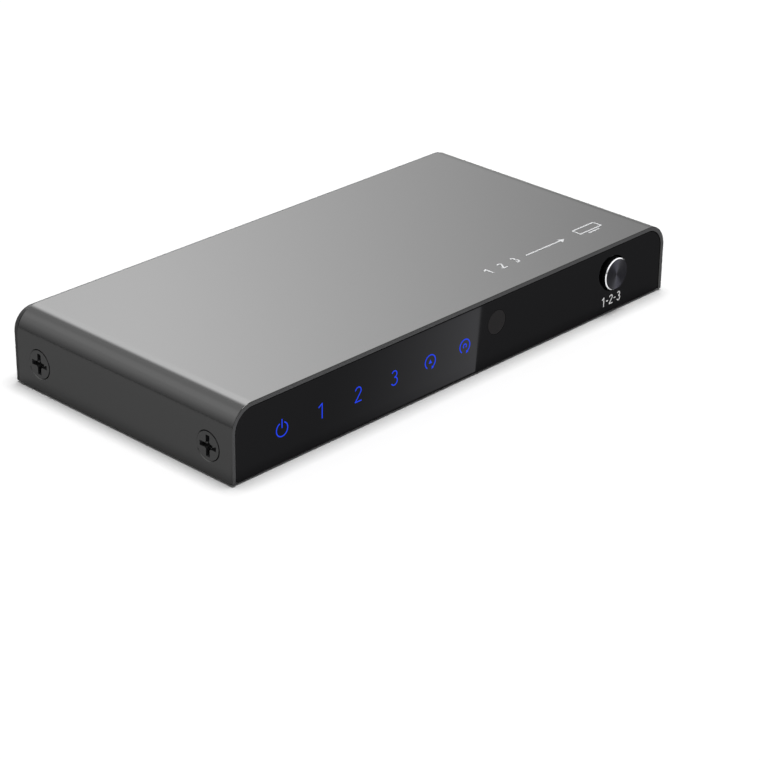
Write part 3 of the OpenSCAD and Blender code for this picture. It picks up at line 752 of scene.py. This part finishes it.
# %% Print the label
LABEL, LABEL_PEN, DASH_PEN = 2.2, 0.28, 0.26
label_parts = []
for number, x in ((1, -2.6), (2, 0), (3, 2.6)):
    label_parts += digit(number, LABEL, LABEL_PEN, x)
label_parts += [stroke((-1.6, 0), (-1.0, 0), DASH_PEN), stroke((1.0, 0), (1.6, 0), DASH_PEN)]
label = lay("label_button", label_parts, on_panel(47.35, 3.2))
paint(label, ink_finish)
hand_over(label, "box", "panel_gloss")

# %% [markdown]
# ## The sign on the top
# A grey print on the top tells what the box does: one of three inputs goes to a screen. It is pad-printed, so
# it is a thin film as the marks are, and takes the soft grey of the ink.

# %% Print the sign
pad_finish, tree, shader, place = new_finish("grey_pad_print", Roughness=0.5, Specular_IOR_Level=0.2)
mottle = add_node(tree, "TexNoise", {"Vector": place, "Scale": 1 / (0.3 * MM), "Detail": 2})
tone = add_node(tree, "MixRGB", {0: mottle.outputs["Fac"], 1: linear("#b2b3b5"), 2: linear("#c0c1c3")})
fill(tree, shader, {"Base Color": tone.outputs[0]})

LINE = 0.4
sign = []
for number in (1, 2, 3):
    sign += digit(number, 2.5, LINE, 4.2 * number - 21.7)
sign += [stroke((-5.6, 0), (5.6, 0), LINE), arrow_head((6.0, 0), 1.0, 0)]
screen = [(11.6, -0.7), (11.6, 1.6), (18.6, 1.6), (18.6, -0.7), (11.4, -0.7)]
sign += [stroke(start, end, LINE) for start, end in zip(screen, screen[1:])]
sign += [stroke((13.3, -1.55), (16.9, -1.55), LINE)]
title = lay("sign_top", sign, Vector((34.4 * MM, -22.8 * MM, cover_high.z)), upright=False)
paint(title, pad_finish)
hand_over(title, "box", "cover_metal")

# %% [markdown]
# ## Finish: the turned button
# The cap is turned from aluminium and anodised black. Its face was spun with a fine tool, so it carries rings
# of about 0.1 mm. Such rings scatter light only across themselves, which draws two bright fans from the
# middle. The shader does that with an anisotropy whose direction runs out from the middle. The edge was cut
# bright afterwards and is a mirror.

# %% Barrel and cut edge
barrel_finish, tree, shader, place = new_finish(
    "black_anodised_aluminium", Base_Color=linear("#0c0c0d"), Metallic=0.4, Roughness=0.32
)
grain = add_node(tree, "TexNoise", {"Vector": place, "Scale": 1 / (0.1 * MM), "Detail": 2})
rough = add_node(tree, "MapRange", {"Value": grain.outputs["Fac"], "To Min": 0.28, "To Max": 0.38})
fill(tree, shader, {"Roughness": rough.outputs[0]})

edge_finish, tree, shader, place = new_finish(
    "bright_cut_aluminium", Base_Color=linear("#f0f0f2"), Metallic=1, Roughness=0.08
)
grain = add_node(tree, "TexNoise", {"Vector": place, "Scale": 1 / (0.08 * MM), "Detail": 2})
rough = add_node(tree, "MapRange", {"Value": grain.outputs["Fac"], "To Min": 0.05, "To Max": 0.12})
fill(tree, shader, {"Roughness": rough.outputs[0]})

# %% Spun face
# The wave texture's rings lie this far apart at a scale of 1.
WAVE_PERIOD = 0.314
spun_finish, tree, shader, place = new_finish(
    "spun_anodised_aluminium", Base_Color=linear("#1a1a1f"), Metallic=1, Roughness=0.42, Anisotropic=0.9
)
centred = add_node(tree, "Mapping", {"Vector": place, "Location": -BUTTON})
rings = add_node(
    tree,
    "TexWave",
    {"Vector": centred.outputs[0], "Scale": WAVE_PERIOD / (0.1 * MM), "Distortion": 0.6, "Detail": 2},
    wave_type="RINGS",
    rings_direction="Y",
)
bump = add_node(tree, "Bump", {"Height": rings.outputs["Fac"], "Strength": 0.12, "Distance": 0.01 * MM})
fill(tree, shader, {"Normal": bump.outputs[0], "Tangent": centred.outputs[0]})

# %% [markdown]
# ## The button
# The cap starts as a rod. Its front edge is cut at an angle, and its back is hollowed for the stem: the back
# face is inset and pushed in. It moves with the button's body.

# %% Model the cap
cap_low, cap_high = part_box("button_cap")
cap_start = BUTTON.x, cap_low.y, BUTTON.z
cap = add_rod("button", "Y", cap_start, cap_high.y - cap_low.y, 3.65 * MM, vertices=128)
with editing(cap):
    pick("EDGE", lambda edge: edge_lies(edge, Y, cap_low.y))
    bevel(0.2, 1)
    pick("FACE", lambda face: face_looks(face, Y, 1))
    bpy.ops.mesh.inset(thickness=1.15 * MM)
    extrude(0, -1.9, 0)
smooth(cap, angle=30)


def cap_edge(face):
    """True for the cut edge of the cap."""
    return -0.9 < face.normal.y < -0.4


def cap_face(face):
    """True for the spun face of the cap."""
    return face_looks(face, Y, -1) and face.center.y < cap_low.y + 0.1 * MM


paint(cap, barrel_finish, (edge_finish, cap_edge), (spun_finish, cap_face))
hand_over(cap, "button", "button_metal", "button_cap")

# %% [markdown]
# ## Finish: powder-coated steel
# The tray and the plate at the back are steel with a dark powder coat. The melted powder leaves low bumps of
# about 0.4 mm, the skin of an orange, which the light shows at a low angle.

# %% Powder coat
coat_finish, tree, shader, place = new_finish(
    "powder_coated_steel", Base_Color=linear("#2d2d2e"), Roughness=0.6, Specular_IOR_Level=0.12
)
peel = add_node(tree, "TexNoise", {"Vector": place, "Scale": 1 / (0.4 * MM), "Detail": 3})
bump = add_node(tree, "Bump", {"Height": peel.outputs["Fac"], "Strength": 0.3, "Distance": 0.03 * MM})
tone = add_node(tree, "MixRGB", {0: peel.outputs["Fac"], 1: linear("#292929"), 2: linear("#323233")})
fill(tree, shader, {"Base Color": tone.outputs[0], "Normal": bump.outputs[0]})

# %% [markdown]
# ## The plate at the back
# The back is a flat plate that stands behind the edge of the cover, a little smaller than its outline. It is
# a block with bevelled corners. The sockets' openings are cut with blocks whose lower corners are bevelled,
# the power jack's with a rod, and the outer edges are rounded.

# %% Shape the plate
plate_low, plate_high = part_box("rear_panel")
plate = add_block("rear_plate", plate_low, plate_high)
with editing(plate):
    pick("EDGE", lambda edge: edge_runs(edge, Y) and edge_lies(edge, Z, plate_high.z))
    bevel(4.6, 20)
    pick("EDGE", lambda edge: edge_lies(edge, Y, plate_high.y))
    bevel(0.12, 2)
print("plate:", len(plate.data.polygons), "faces")

# %% Cut the openings
SOCKET_X = (-42.0, -19.0, 4.0, 27.0)
SOCKET_HALF = 7
SOCKET_Z = (7.35, 11.9)
CORNER, CORNER_GROWTH = 2, 0.586
CUT_START, CUT_END = 30, 34
JACK = centre("power_jack_pin")


def socket_block(name, x, grow, start, end):
    """A block with a socket's outline, grown outwards by a gap in millimetres."""
    low = Vector((x - SOCKET_HALF - grow, start, SOCKET_Z[0] - grow)) * MM
    high = Vector((x + SOCKET_HALF + grow, end, SOCKET_Z[1] + grow)) * MM
    block = add_block(name, low, high)
    with editing(block):
        pick("EDGE", lambda edge: edge_runs(edge, Y) and edge_lies(edge, Z, low.z))
        bevel(CORNER + CORNER_GROWTH * grow, 1)
    return block


for x in SOCKET_X:
    cut(plate, socket_block("opening", x, 0.6, CUT_START, CUT_END))
drill(plate, JACK, 3.95 * MM, CUT_START * MM, (CUT_END - CUT_START) * MM)
smooth(plate)
paint(plate, coat_finish)
hand_over(plate, "box", "tray_paint", "rear_panel")

# %% [markdown]
# ## Sockets
# A video socket is a folded steel shell, a black insulator with a tongue, and gilded contacts on it. The
# shell is a block in the socket's outline with its folds rounded, opened at both ends and given a sheet's
# thickness. Its legs are welded to the side walls, and the tongue is a second block welded to the insulator.
# Nickel on rolled strip shows faint streaks along the shell, moulded nylon shows its glass fibres as a
# mottle, and gold shows where it was wiped. One socket is modelled and three are copied. The contacts stay
# as solids.

# %% Nickel, nylon and gold
shell_finish, tree, shader, place = new_finish(
    "nickel_plated_steel", Base_Color=linear("#b9b6ae"), Metallic=1, Roughness=0.25
)
stretched = add_node(tree, "Mapping", {"Vector": place, "Scale": (1, 0.05, 1)}).outputs[0]
rolled = add_node(tree, "TexNoise", {"Vector": stretched, "Scale": 1 / (0.2 * MM), "Detail": 3})
rough = add_node(tree, "MapRange", {"Value": rolled.outputs["Fac"], "To Min": 0.2, "To Max": 0.34})
fill(tree, shader, {"Roughness": rough.outputs[0]})

nylon_finish, tree, shader, place = new_finish(
    "glass_filled_nylon", Base_Color=linear("#161617"), Roughness=0.5
)
fibre = add_node(tree, "TexNoise", {"Vector": place, "Scale": 1 / (0.3 * MM), "Detail": 4})
tone = add_node(tree, "MixRGB", {0: fibre.outputs["Fac"], 1: linear("#121213"), 2: linear("#1c1c1d")})
bump = add_node(tree, "Bump", {"Height": fibre.outputs["Fac"], "Strength": 0.2, "Distance": 0.02 * MM})
fill(tree, shader, {"Base Color": tone.outputs[0], "Normal": bump.outputs[0]})

gold_finish, tree, shader, place = new_finish(
    "hard_gold_plate", Base_Color=linear("#e0b860"), Metallic=1, Roughness=0.22
)
wipe = add_node(tree, "TexNoise", {"Vector": place, "Scale": 1 / (0.25 * MM), "Detail": 2})
rough = add_node(tree, "MapRange", {"Value": wipe.outputs["Fac"], "To Min": 0.16, "To Max": 0.3})
fill(tree, shader, {"Roughness": rough.outputs[0]})

# %% Fold one shell
MOUTH = 33.5
SHELL_BACK = 21.5
SHELL_SHEET = 0.35
shell = socket_block("input_1_case", SOCKET_X[0], SHELL_SHEET, SHELL_BACK, MOUTH)
with editing(shell):
    pick("EDGE", lambda edge: edge_runs(edge, Y))
    bevel(0.3, 3)
    pick("FACE", lambda face: face_looks(face, Y, 1) or face_looks(face, Y, -1))
    bpy.ops.mesh.delete(type="FACE")
change(shell, "SOLIDIFY", thickness=SHELL_SHEET * MM, offset=-1, use_even_offset=True)
with editing(shell):
    pick("EDGE", lambda edge: edge_lies(edge, Y, MOUTH * MM))
    bevel(0.08, 1)
print("shell:", len(shell.data.polygons), "faces")

# %% Weld its legs
LEG_Y = (23.0, 28.5)
LEG_WIDE = 1
LEG_FOOT, LEG_TOP = 4.6, 9.6
legs = []
for side in (-1, 1):
    for y in LEG_Y:
        x = SOCKET_X[0] + side * (SOCKET_HALF + SHELL_SHEET / 2)
        leg_low = Vector((x - SHELL_SHEET / 2, y, LEG_FOOT)) * MM
        leg_high = Vector((x + SHELL_SHEET / 2, y + LEG_WIDE, LEG_TOP)) * MM
        leg = add_block("leg", leg_low, leg_high)
        with editing(leg):
            pick("EDGE", lambda edge: edge_runs(edge, X) and edge_lies(edge, Z, LEG_FOOT * MM))
            bevel(0.3, 2)
        legs.append(leg)
weld(shell, *legs)
smooth(shell)
paint(shell, shell_finish)
print("shell with legs:", len(shell.data.polygons), "faces")

# %% Mould one insulator
CORE_FRONT = 25.5
TONGUE_HALF = 5.6
TONGUE_Y = (24.5, 31.7)
TONGUE_Z = (9.075, 10.175)
insulator = socket_block("input_1_core", SOCKET_X[0], -0.05, SHELL_BACK, CORE_FRONT)
tongue_low = Vector((SOCKET_X[0] - TONGUE_HALF, TONGUE_Y[0], TONGUE_Z[0])) * MM
tongue_high = Vector((SOCKET_X[0] + TONGUE_HALF, TONGUE_Y[1], TONGUE_Z[1])) * MM
tongue = add_block("tongue", tongue_low, tongue_high)
with editing(tongue):
    pick("EDGE", lambda edge: edge_lies(edge, Y, TONGUE_Y[1] * MM))
    bevel(0.25, 2)
weld(insulator, tongue)
smooth(insulator)
paint(insulator, nylon_finish)
print("insulator:", len(insulator.data.polygons), "faces")

# %% Copy the socket
SOCKET_NAMES = ("input_1", "input_2", "input_3", "output")
for number, name in enumerate(SOCKET_NAMES):
    step = (SOCKET_X[number] - SOCKET_X[0], 0, 0)
    case = shell if number == 0 else copy_piece(shell, f"{name}_case", step)
    core = insulator if number == 0 else copy_piece(insulator, f"{name}_core", step)
    hand_over(case, "box", "socket_steel", f"{name}_shell")
    hand_over(core, "box", "moulded_black", f"{name}_insulator")

# %% [markdown]
# ## The power jack
# The jack is a moulded block with a round nose that reaches through the plate, and a bore with a pin in its
# middle. The rim of the nose is rounded, and the block and the nose are welded. Then the bore, a hole for the
# pin and a slot for the spring are cut.

# %% Mould the jack
BLOCK_END = 31.35
NOSE_START = 30
jack_low, jack_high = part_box("power_jack_body")
block = add_block("power_jack", jack_low, (jack_high.x, BLOCK_END * MM, jack_high.z))
with editing(block):
    bpy.ops.mesh.select_all(action="SELECT")
    bevel(0.3, 2)
nose_start = JACK.x, NOSE_START * MM, JACK.z
nose = add_rod("nose", "Y", nose_start, jack_high.y - NOSE_START * MM, 3.7 * MM, vertices=96)
with editing(nose):
    pick("EDGE", lambda edge: edge_lies(edge, Y, jack_high.y))
    bevel(0.2, 2)
jack = weld(block, nose)
print("jack:", len(jack.data.polygons), "faces")

# %% Bore the jack
BORE_START = 24
PIN_START = 22
drill(jack, JACK, 3.15 * MM, BORE_START * MM, 11 * MM)
drill(jack, JACK, 1.05 * MM, PIN_START * MM, 4 * MM)
slot_low = Vector((46.95, BORE_START, 7.4)) * MM
slot_high = Vector((49.05, BLOCK_END, 7.9)) * MM
cut(jack, add_block("slot", slot_low, slot_high))
smooth(jack)
paint(jack, nylon_finish)
hand_over(jack, "box", "moulded_black", "power_jack_body")

# %% [markdown]
# ## Feet
# Four rubber discs stick under the tray. Each is a low rod with a rounded lower rim and a shallow dish
# pressed into its sole. The rubber is matt and mottled with dust.

# %% Rubber
rubber_finish, tree, shader, place = new_finish(
    "moulded_rubber", Base_Color=linear("#1b1b1c"), Roughness=0.85, Specular_IOR_Level=0.3
)
dust = add_node(tree, "TexNoise", {"Vector": place, "Scale": 1 / (0.6 * MM), "Detail": 5})
tone = add_node(tree, "MixRGB", {0: dust.outputs["Fac"], 1: linear("#161617"), 2: linear("#262627")})
bump = add_node(tree, "Bump", {"Height": dust.outputs["Fac"], "Strength": 0.25, "Distance": 0.03 * MM})
fill(tree, shader, {"Base Color": tone.outputs[0], "Normal": bump.outputs[0]})

# %% Model one foot, and copy it
FOOT_X, FOOT_Y = 55, 22
FOOT_HIGH, FOOT_R = 0.6, 4.5
foot_at = Vector((-FOOT_X, -FOOT_Y, 0)) * MM
foot = add_rod("foot_front_left", "Z", foot_at, FOOT_HIGH * MM, FOOT_R * MM, vertices=72)
with editing(foot):
    pick("EDGE", lambda edge: edge_lies(edge, Z, 0))
    bevel(0.22, 3)
    pick("FACE", lambda face: face.normal.z < -0.99 and same(face.calc_center_median().z, 0))
    bpy.ops.mesh.inset(thickness=0.9 * MM)
    extrude(0, 0, 0.12)
    bpy.ops.transform.resize(value=(0.93, 0.93, 1))
smooth(foot)
paint(foot, rubber_finish)
feet = [
    foot,
    copy_piece(foot, "foot_front_right", (2 * FOOT_X, 0, 0)),
    copy_piece(foot, "foot_back_left", (0, 2 * FOOT_Y, 0)),
    copy_piece(foot, "foot_back_right", (2 * FOOT_X, 2 * FOOT_Y, 0)),
]
for piece in feet:
    hand_over(piece, "box", "foot_rubber", "rubber_feet")

# %% [markdown]
# ## What stays as it is
# The tray and all that the closed box hides keep their solids. Their shapes are right, and they only get
# finishes: each is a colour with the fine unevenness of its real surface. A row gives the darker and the
# lighter tone, the metal share, the roughness, the grain in millimetres and the solids.

# %% Inner finishes
CHIPS = ["switch_chip", "signal_boosters", "control_chip", "memory_chips", "regulator", "ir_receiver"]
BLACK_MOULDINGS = ["button_stem", "light_holder", "switch_body", "switch_plunger"]
TINNED = ["switch_frame", "switch_dome", "ir_receiver_leads", "power_jack_pin", "power_jack_spring"]
INNER = {
    "solder_resist": ("#14502f", "#1b6a3f", 0, 0.38, 0.8, ["main_board"]),
    "zinc_plated_steel": ("#a9acae", "#c6c9cb", 1, 0.36, 0.3, ["board_standoffs", "board_screws"]),
    "foam_tape": ("#161616", "#222222", 0, 0.9, 0.3, ["panel_tape"]),
    "mould_compound": ("#191919", "#232323", 0, 0.62, 0.15, CHIPS),
    "pressed_ferrite": ("#3a3b3e", "#4c4d51", 0, 0.7, 0.2, ["inductor"]),
    "drawn_aluminium_can": ("#b4b7ba", "#c8cbce", 1, 0.3, 0.4, ["capacitors", "crystal"]),
    "lamp_ceramic": ("#d8d8d2", "#ecece6", 0, 0.4, 0.2, ["indicator_lamps"]),
    "moulded_clear_acrylic": ("#cfdde6", "#e0ecf3", 0, 0.15, 1.5, ["light_guides"]),
    "moulded_black_abs": ("#171718", "#202021", 0, 0.45, 0.4, BLACK_MOULDINGS),
    "tinned_steel": ("#b0b2b3", "#cfd1d2", 1, 0.3, 0.25, TINNED),
}
for name, (dark, light, metal, roughness, grain_size, nodes) in INNER.items():
    material, tree, shader, place = new_finish(name, Metallic=metal, Roughness=roughness)
    grain = add_node(tree, "TexNoise", {"Vector": place, "Scale": 1 / (grain_size * MM), "Detail": 4})
    tone = add_node(tree, "MixRGB", {0: grain.outputs["Fac"], 1: linear(dark), 2: linear(light)})
    bump = add_node(tree, "Bump", {"Height": grain.outputs["Fac"], "Strength": 0.15, "Distance": 0.02 * MM})
    fill(tree, shader, {"Base Color": tone.outputs[0], "Normal": bump.outputs[0]})
    for node in nodes:
        paint(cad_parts[node], material)

paint(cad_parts["base_tray"], coat_finish)
for name in SOCKET_NAMES:
    paint(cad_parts[f"{name}_contacts"], gold_finish)

# %% [markdown]
# ## Floor and light
# The box stands on a plain white floor under one large soft lamp. It hangs high above, a little to the right,
# which keeps the shadow close to the box and makes it darker at the left wall. Metal shows what is around it,
# so white cards stand outside the picture and are seen only in reflections.

# %% Lay the floor
FLOOR_SIZE = 12
floor_finish, tree, shader, place = new_finish(
    "white_floor", Base_Color=linear("#fdfdfd"), Roughness=1, Specular_IOR_Level=0
)
bpy.ops.object.select_all(action="DESELECT")
bpy.ops.mesh.primitive_plane_add(size=FLOOR_SIZE)
floor = settle("floor")
paint(floor, floor_finish)
print("floor:", FLOOR_SIZE, "m wide")

# %% Set the world and the lamp
WORLD_LIGHT = 0.25
world = bpy.data.worlds.new("studio")
world.use_nodes = True
sky = world.node_tree.nodes["Background"]
fill(world.node_tree, sky, {"Color": (1, 1, 1, 1), "Strength": WORLD_LIGHT})
bpy.context.scene.world = world
bpy.context.scene.view_settings.view_transform = "Standard"


def add_lamp(name, place, aim, size, watts):
    """A square soft lamp at a place, in millimetres, that looks at a point."""
    data = bpy.data.lights.new(name, "AREA")
    data.size = size * MM
    data.energy = watts
    lamp = bpy.data.objects.new(name, data)
    lamp.location = Vector(place) * MM
    lamp.rotation_euler = (Vector(aim) - Vector(place)).to_track_quat("-Z", "Y").to_euler()
    bpy.context.scene.collection.objects.link(lamp)
    print(f"lamp {name}: {watts} W")
    return lamp


add_lamp("top_lamp", place=(680, 0, 8000), aim=(680, 0, 0), size=4000, watts=576)

# %% [markdown]
# ## Cards
# A card at the back left draws the bright band along the bend. A wall of white cloth stands round the set and
# lights the top of the box at a flat angle. It is brighter towards the left of the picture than towards the
# right, which gives the top its slow change of tone, and darker near its foot, where the bend fades into the
# wall. Both are seen by reflections only.


# %% Stand up a card
def new_emitter(name):
    """A material without a surface shader: its tree, its output node and its object coordinates."""
    material = bpy.data.materials.new(name)
    material.use_nodes = True
    tree = material.node_tree
    tree.nodes.clear()
    output = add_node(tree, "OutputMaterial", {})
    return material, tree, output, add_node(tree, "TexCoord", {}).outputs["Object"]


def hide_card(card):
    """Show a card in reflections only."""
    card.visible_camera = False
    card.visible_diffuse = False
    card.visible_shadow = False
    card.visible_transmission = False
    card.visible_volume_scatter = False


def add_card(name, azimuth, elevation, distance, width, height, strength):
    """A card that faces the box, at an azimuth right of the back and an elevation in degrees."""
    a, e = math.radians(azimuth), math.radians(elevation)
    middle = Vector((math.sin(a) * math.cos(e), math.cos(a) * math.cos(e), math.sin(e))) * distance * MM
    bpy.ops.object.select_all(action="DESELECT")
    bpy.ops.mesh.primitive_plane_add(size=1, location=middle)
    card = bpy.context.object
    card.rotation_euler = middle.to_track_quat("Z", "Y").to_euler()
    card.scale = (width * MM, height * MM, 1)
    card = settle(name)
    material, tree, output, place = new_emitter(name)
    light = add_node(tree, "Emission", {"Strength": strength})
    fill(tree, output, {"Surface": light.outputs[0]})
    paint(card, material)
    hide_card(card)
    print(f"card {name}: {width} x {height} mm")


add_card("back_left_card", azimuth=-35, elevation=40, distance=900, width=420, height=210, strength=2.5)

# %% Hang the cloth wall
WALL_R = 1000
WALL_LOW = 40
WALL_HIGH = 1500
bpy.ops.object.select_all(action="DESELECT")
bpy.ops.mesh.primitive_cylinder_add(
    vertices=96,
    radius=WALL_R * MM,
    depth=(WALL_HIGH - WALL_LOW) * MM,
    end_fill_type="NOTHING",
    location=(0, 0, (WALL_HIGH + WALL_LOW) / 2 * MM),
)
cloth = settle("cloth_wall")
print("cloth wall:", len(cloth.data.polygons), "faces")

# %% Light the cloth wall
LIGHT_BY_BEARING = {
    -180: 1.3,
    -110: 1.3,
    -75: 2.0,
    10: 2.1,
    21: 9.0,
    38: 9.0,
    58: 3.75,
    64: 4.0,
    80: 3.6,
    95: 2.2,
    110: 1.3,
    180: 1.3,
}
BRIGHTEST = 12
LOW_SHARE = 0.39
FADE_LOW, FADE_HIGH = 90, 515
material, tree, output, place = new_emitter("lit_cloth")
axes = add_node(tree, "SeparateXYZ", {"Vector": place})
bearing = add_node(tree, "Math", {0: axes.outputs["X"], 1: axes.outputs["Y"]}, operation="ARCTAN2")
turned = add_node(
    tree, "MapRange", {"Value": bearing.outputs[0], "From Min": -math.pi, "From Max": math.pi}
)
ramp = add_node(tree, "ValToRGB", {"Fac": turned.outputs[0]})
stops = ramp.color_ramp.elements
for number, (angle, strength) in enumerate(LIGHT_BY_BEARING.items()):
    stop = stops[number] if number < 2 else stops.new(1)
    stop.position = (angle + 180) / 360
    stop.color = [strength / BRIGHTEST] * 3 + [1]
height = add_node(
    tree,
    "MapRange",
    {
        "Value": axes.outputs["Z"],
        "From Min": FADE_LOW * MM,
        "From Max": FADE_HIGH * MM,
        "To Min": LOW_SHARE * BRIGHTEST,
        "To Max": BRIGHTEST,
    },
)
light = add_node(tree, "Emission", {"Color": ramp.outputs["Color"], "Strength": height.outputs[0]})
fill(tree, output, {"Surface": light.outputs[0]})
paint(cloth, material)
hide_card(cloth)
print("cloth light:", [round(stop.color[0] * BRIGHTEST, 2) for stop in stops])

# %% [markdown]
# ## The shine on the panel
# In the photograph the left half of the panel carries a soft shine that grows to the right and ends at a
# crisp line. A graded sheet of light just above the floor draws it, as a slanted strip in front of the panel.
# It is see-through, lights the panel alone, and is seen in reflections only.

# %% Lay the light sheet
STRIP_LEFT, STRIP_RIGHT = -66, 4.7
STRIP_BACK, STRIP_DEPTH = -32.7, 21.0
STRIP_SHIFT = 25.3
STRIP_Z = 0.1
strip_front = STRIP_BACK - STRIP_DEPTH
corners = [
    (STRIP_LEFT, STRIP_BACK),
    (STRIP_RIGHT, STRIP_BACK),
    (STRIP_LEFT + STRIP_SHIFT, strip_front),
    (STRIP_RIGHT + STRIP_SHIFT, strip_front),
]
bpy.ops.object.select_all(action="DESELECT")
bpy.ops.mesh.primitive_plane_add(size=1)
sheet = settle("light_sheet")
for vert, (x, y) in zip(sheet.data.vertices, corners):
    vert.co = Vector((x, y, STRIP_Z)) * MM
print("light sheet:", [[round(value, 1) for value in corner] for corner in corners])

# %% Grade its light
SHINE_START = -46
SHINE = 1.75
slant = STRIP_SHIFT / STRIP_DEPTH
offset = STRIP_BACK * slant
material, tree, output, place = new_emitter("graded_light")
axes = add_node(tree, "SeparateXYZ", {"Vector": place})
slanted = add_node(
    tree, "Math", {0: axes.outputs["Y"], 1: slant, 2: axes.outputs["X"]}, operation="MULTIPLY_ADD"
)
grade = add_node(
    tree,
    "MapRange",
    {
        "Value": slanted.outputs[0],
        "From Min": (SHINE_START + offset) * MM,
        "From Max": (STRIP_RIGHT + offset) * MM,
        "To Max": SHINE,
    },
)
squared = add_node(tree, "Math", {0: grade.outputs[0], 1: 2.0}, operation="POWER")
light = add_node(tree, "Emission", {"Strength": squared.outputs[0]})
through = add_node(tree, "BsdfTransparent", {})
both = add_node(tree, "AddShader", {0: light.outputs[0], 1: through.outputs[0]})
fill(tree, output, {"Surface": both.outputs[0]})
paint(sheet, material)
hide_card(sheet)
print("shine: up to", SHINE**2)

# %% [markdown]
# ## A lamp for the button
# The rings of the spun face catch a light from the right in two fans, above and below the middle. A small
# lamp at the front right does it. It shines on the button only, so that the panel around it stays dark.


# %% Hang the button's lamp
def light_only(source, name, piece):
    """Let a light or a card shine on one piece alone."""
    group = bpy.data.collections.new(name)
    group.objects.link(piece)
    source.light_linking.receiver_collection = group


button_lamp = add_lamp("button_lamp", place=(360, -340, 60), aim=(47, -33, 9), size=330, watts=6)
light_only(button_lamp, "lit_by_button_lamp", cap)
light_only(sheet, "lit_by_sheet", panel)

# %% Finish
bpy.context.view_layer.update()
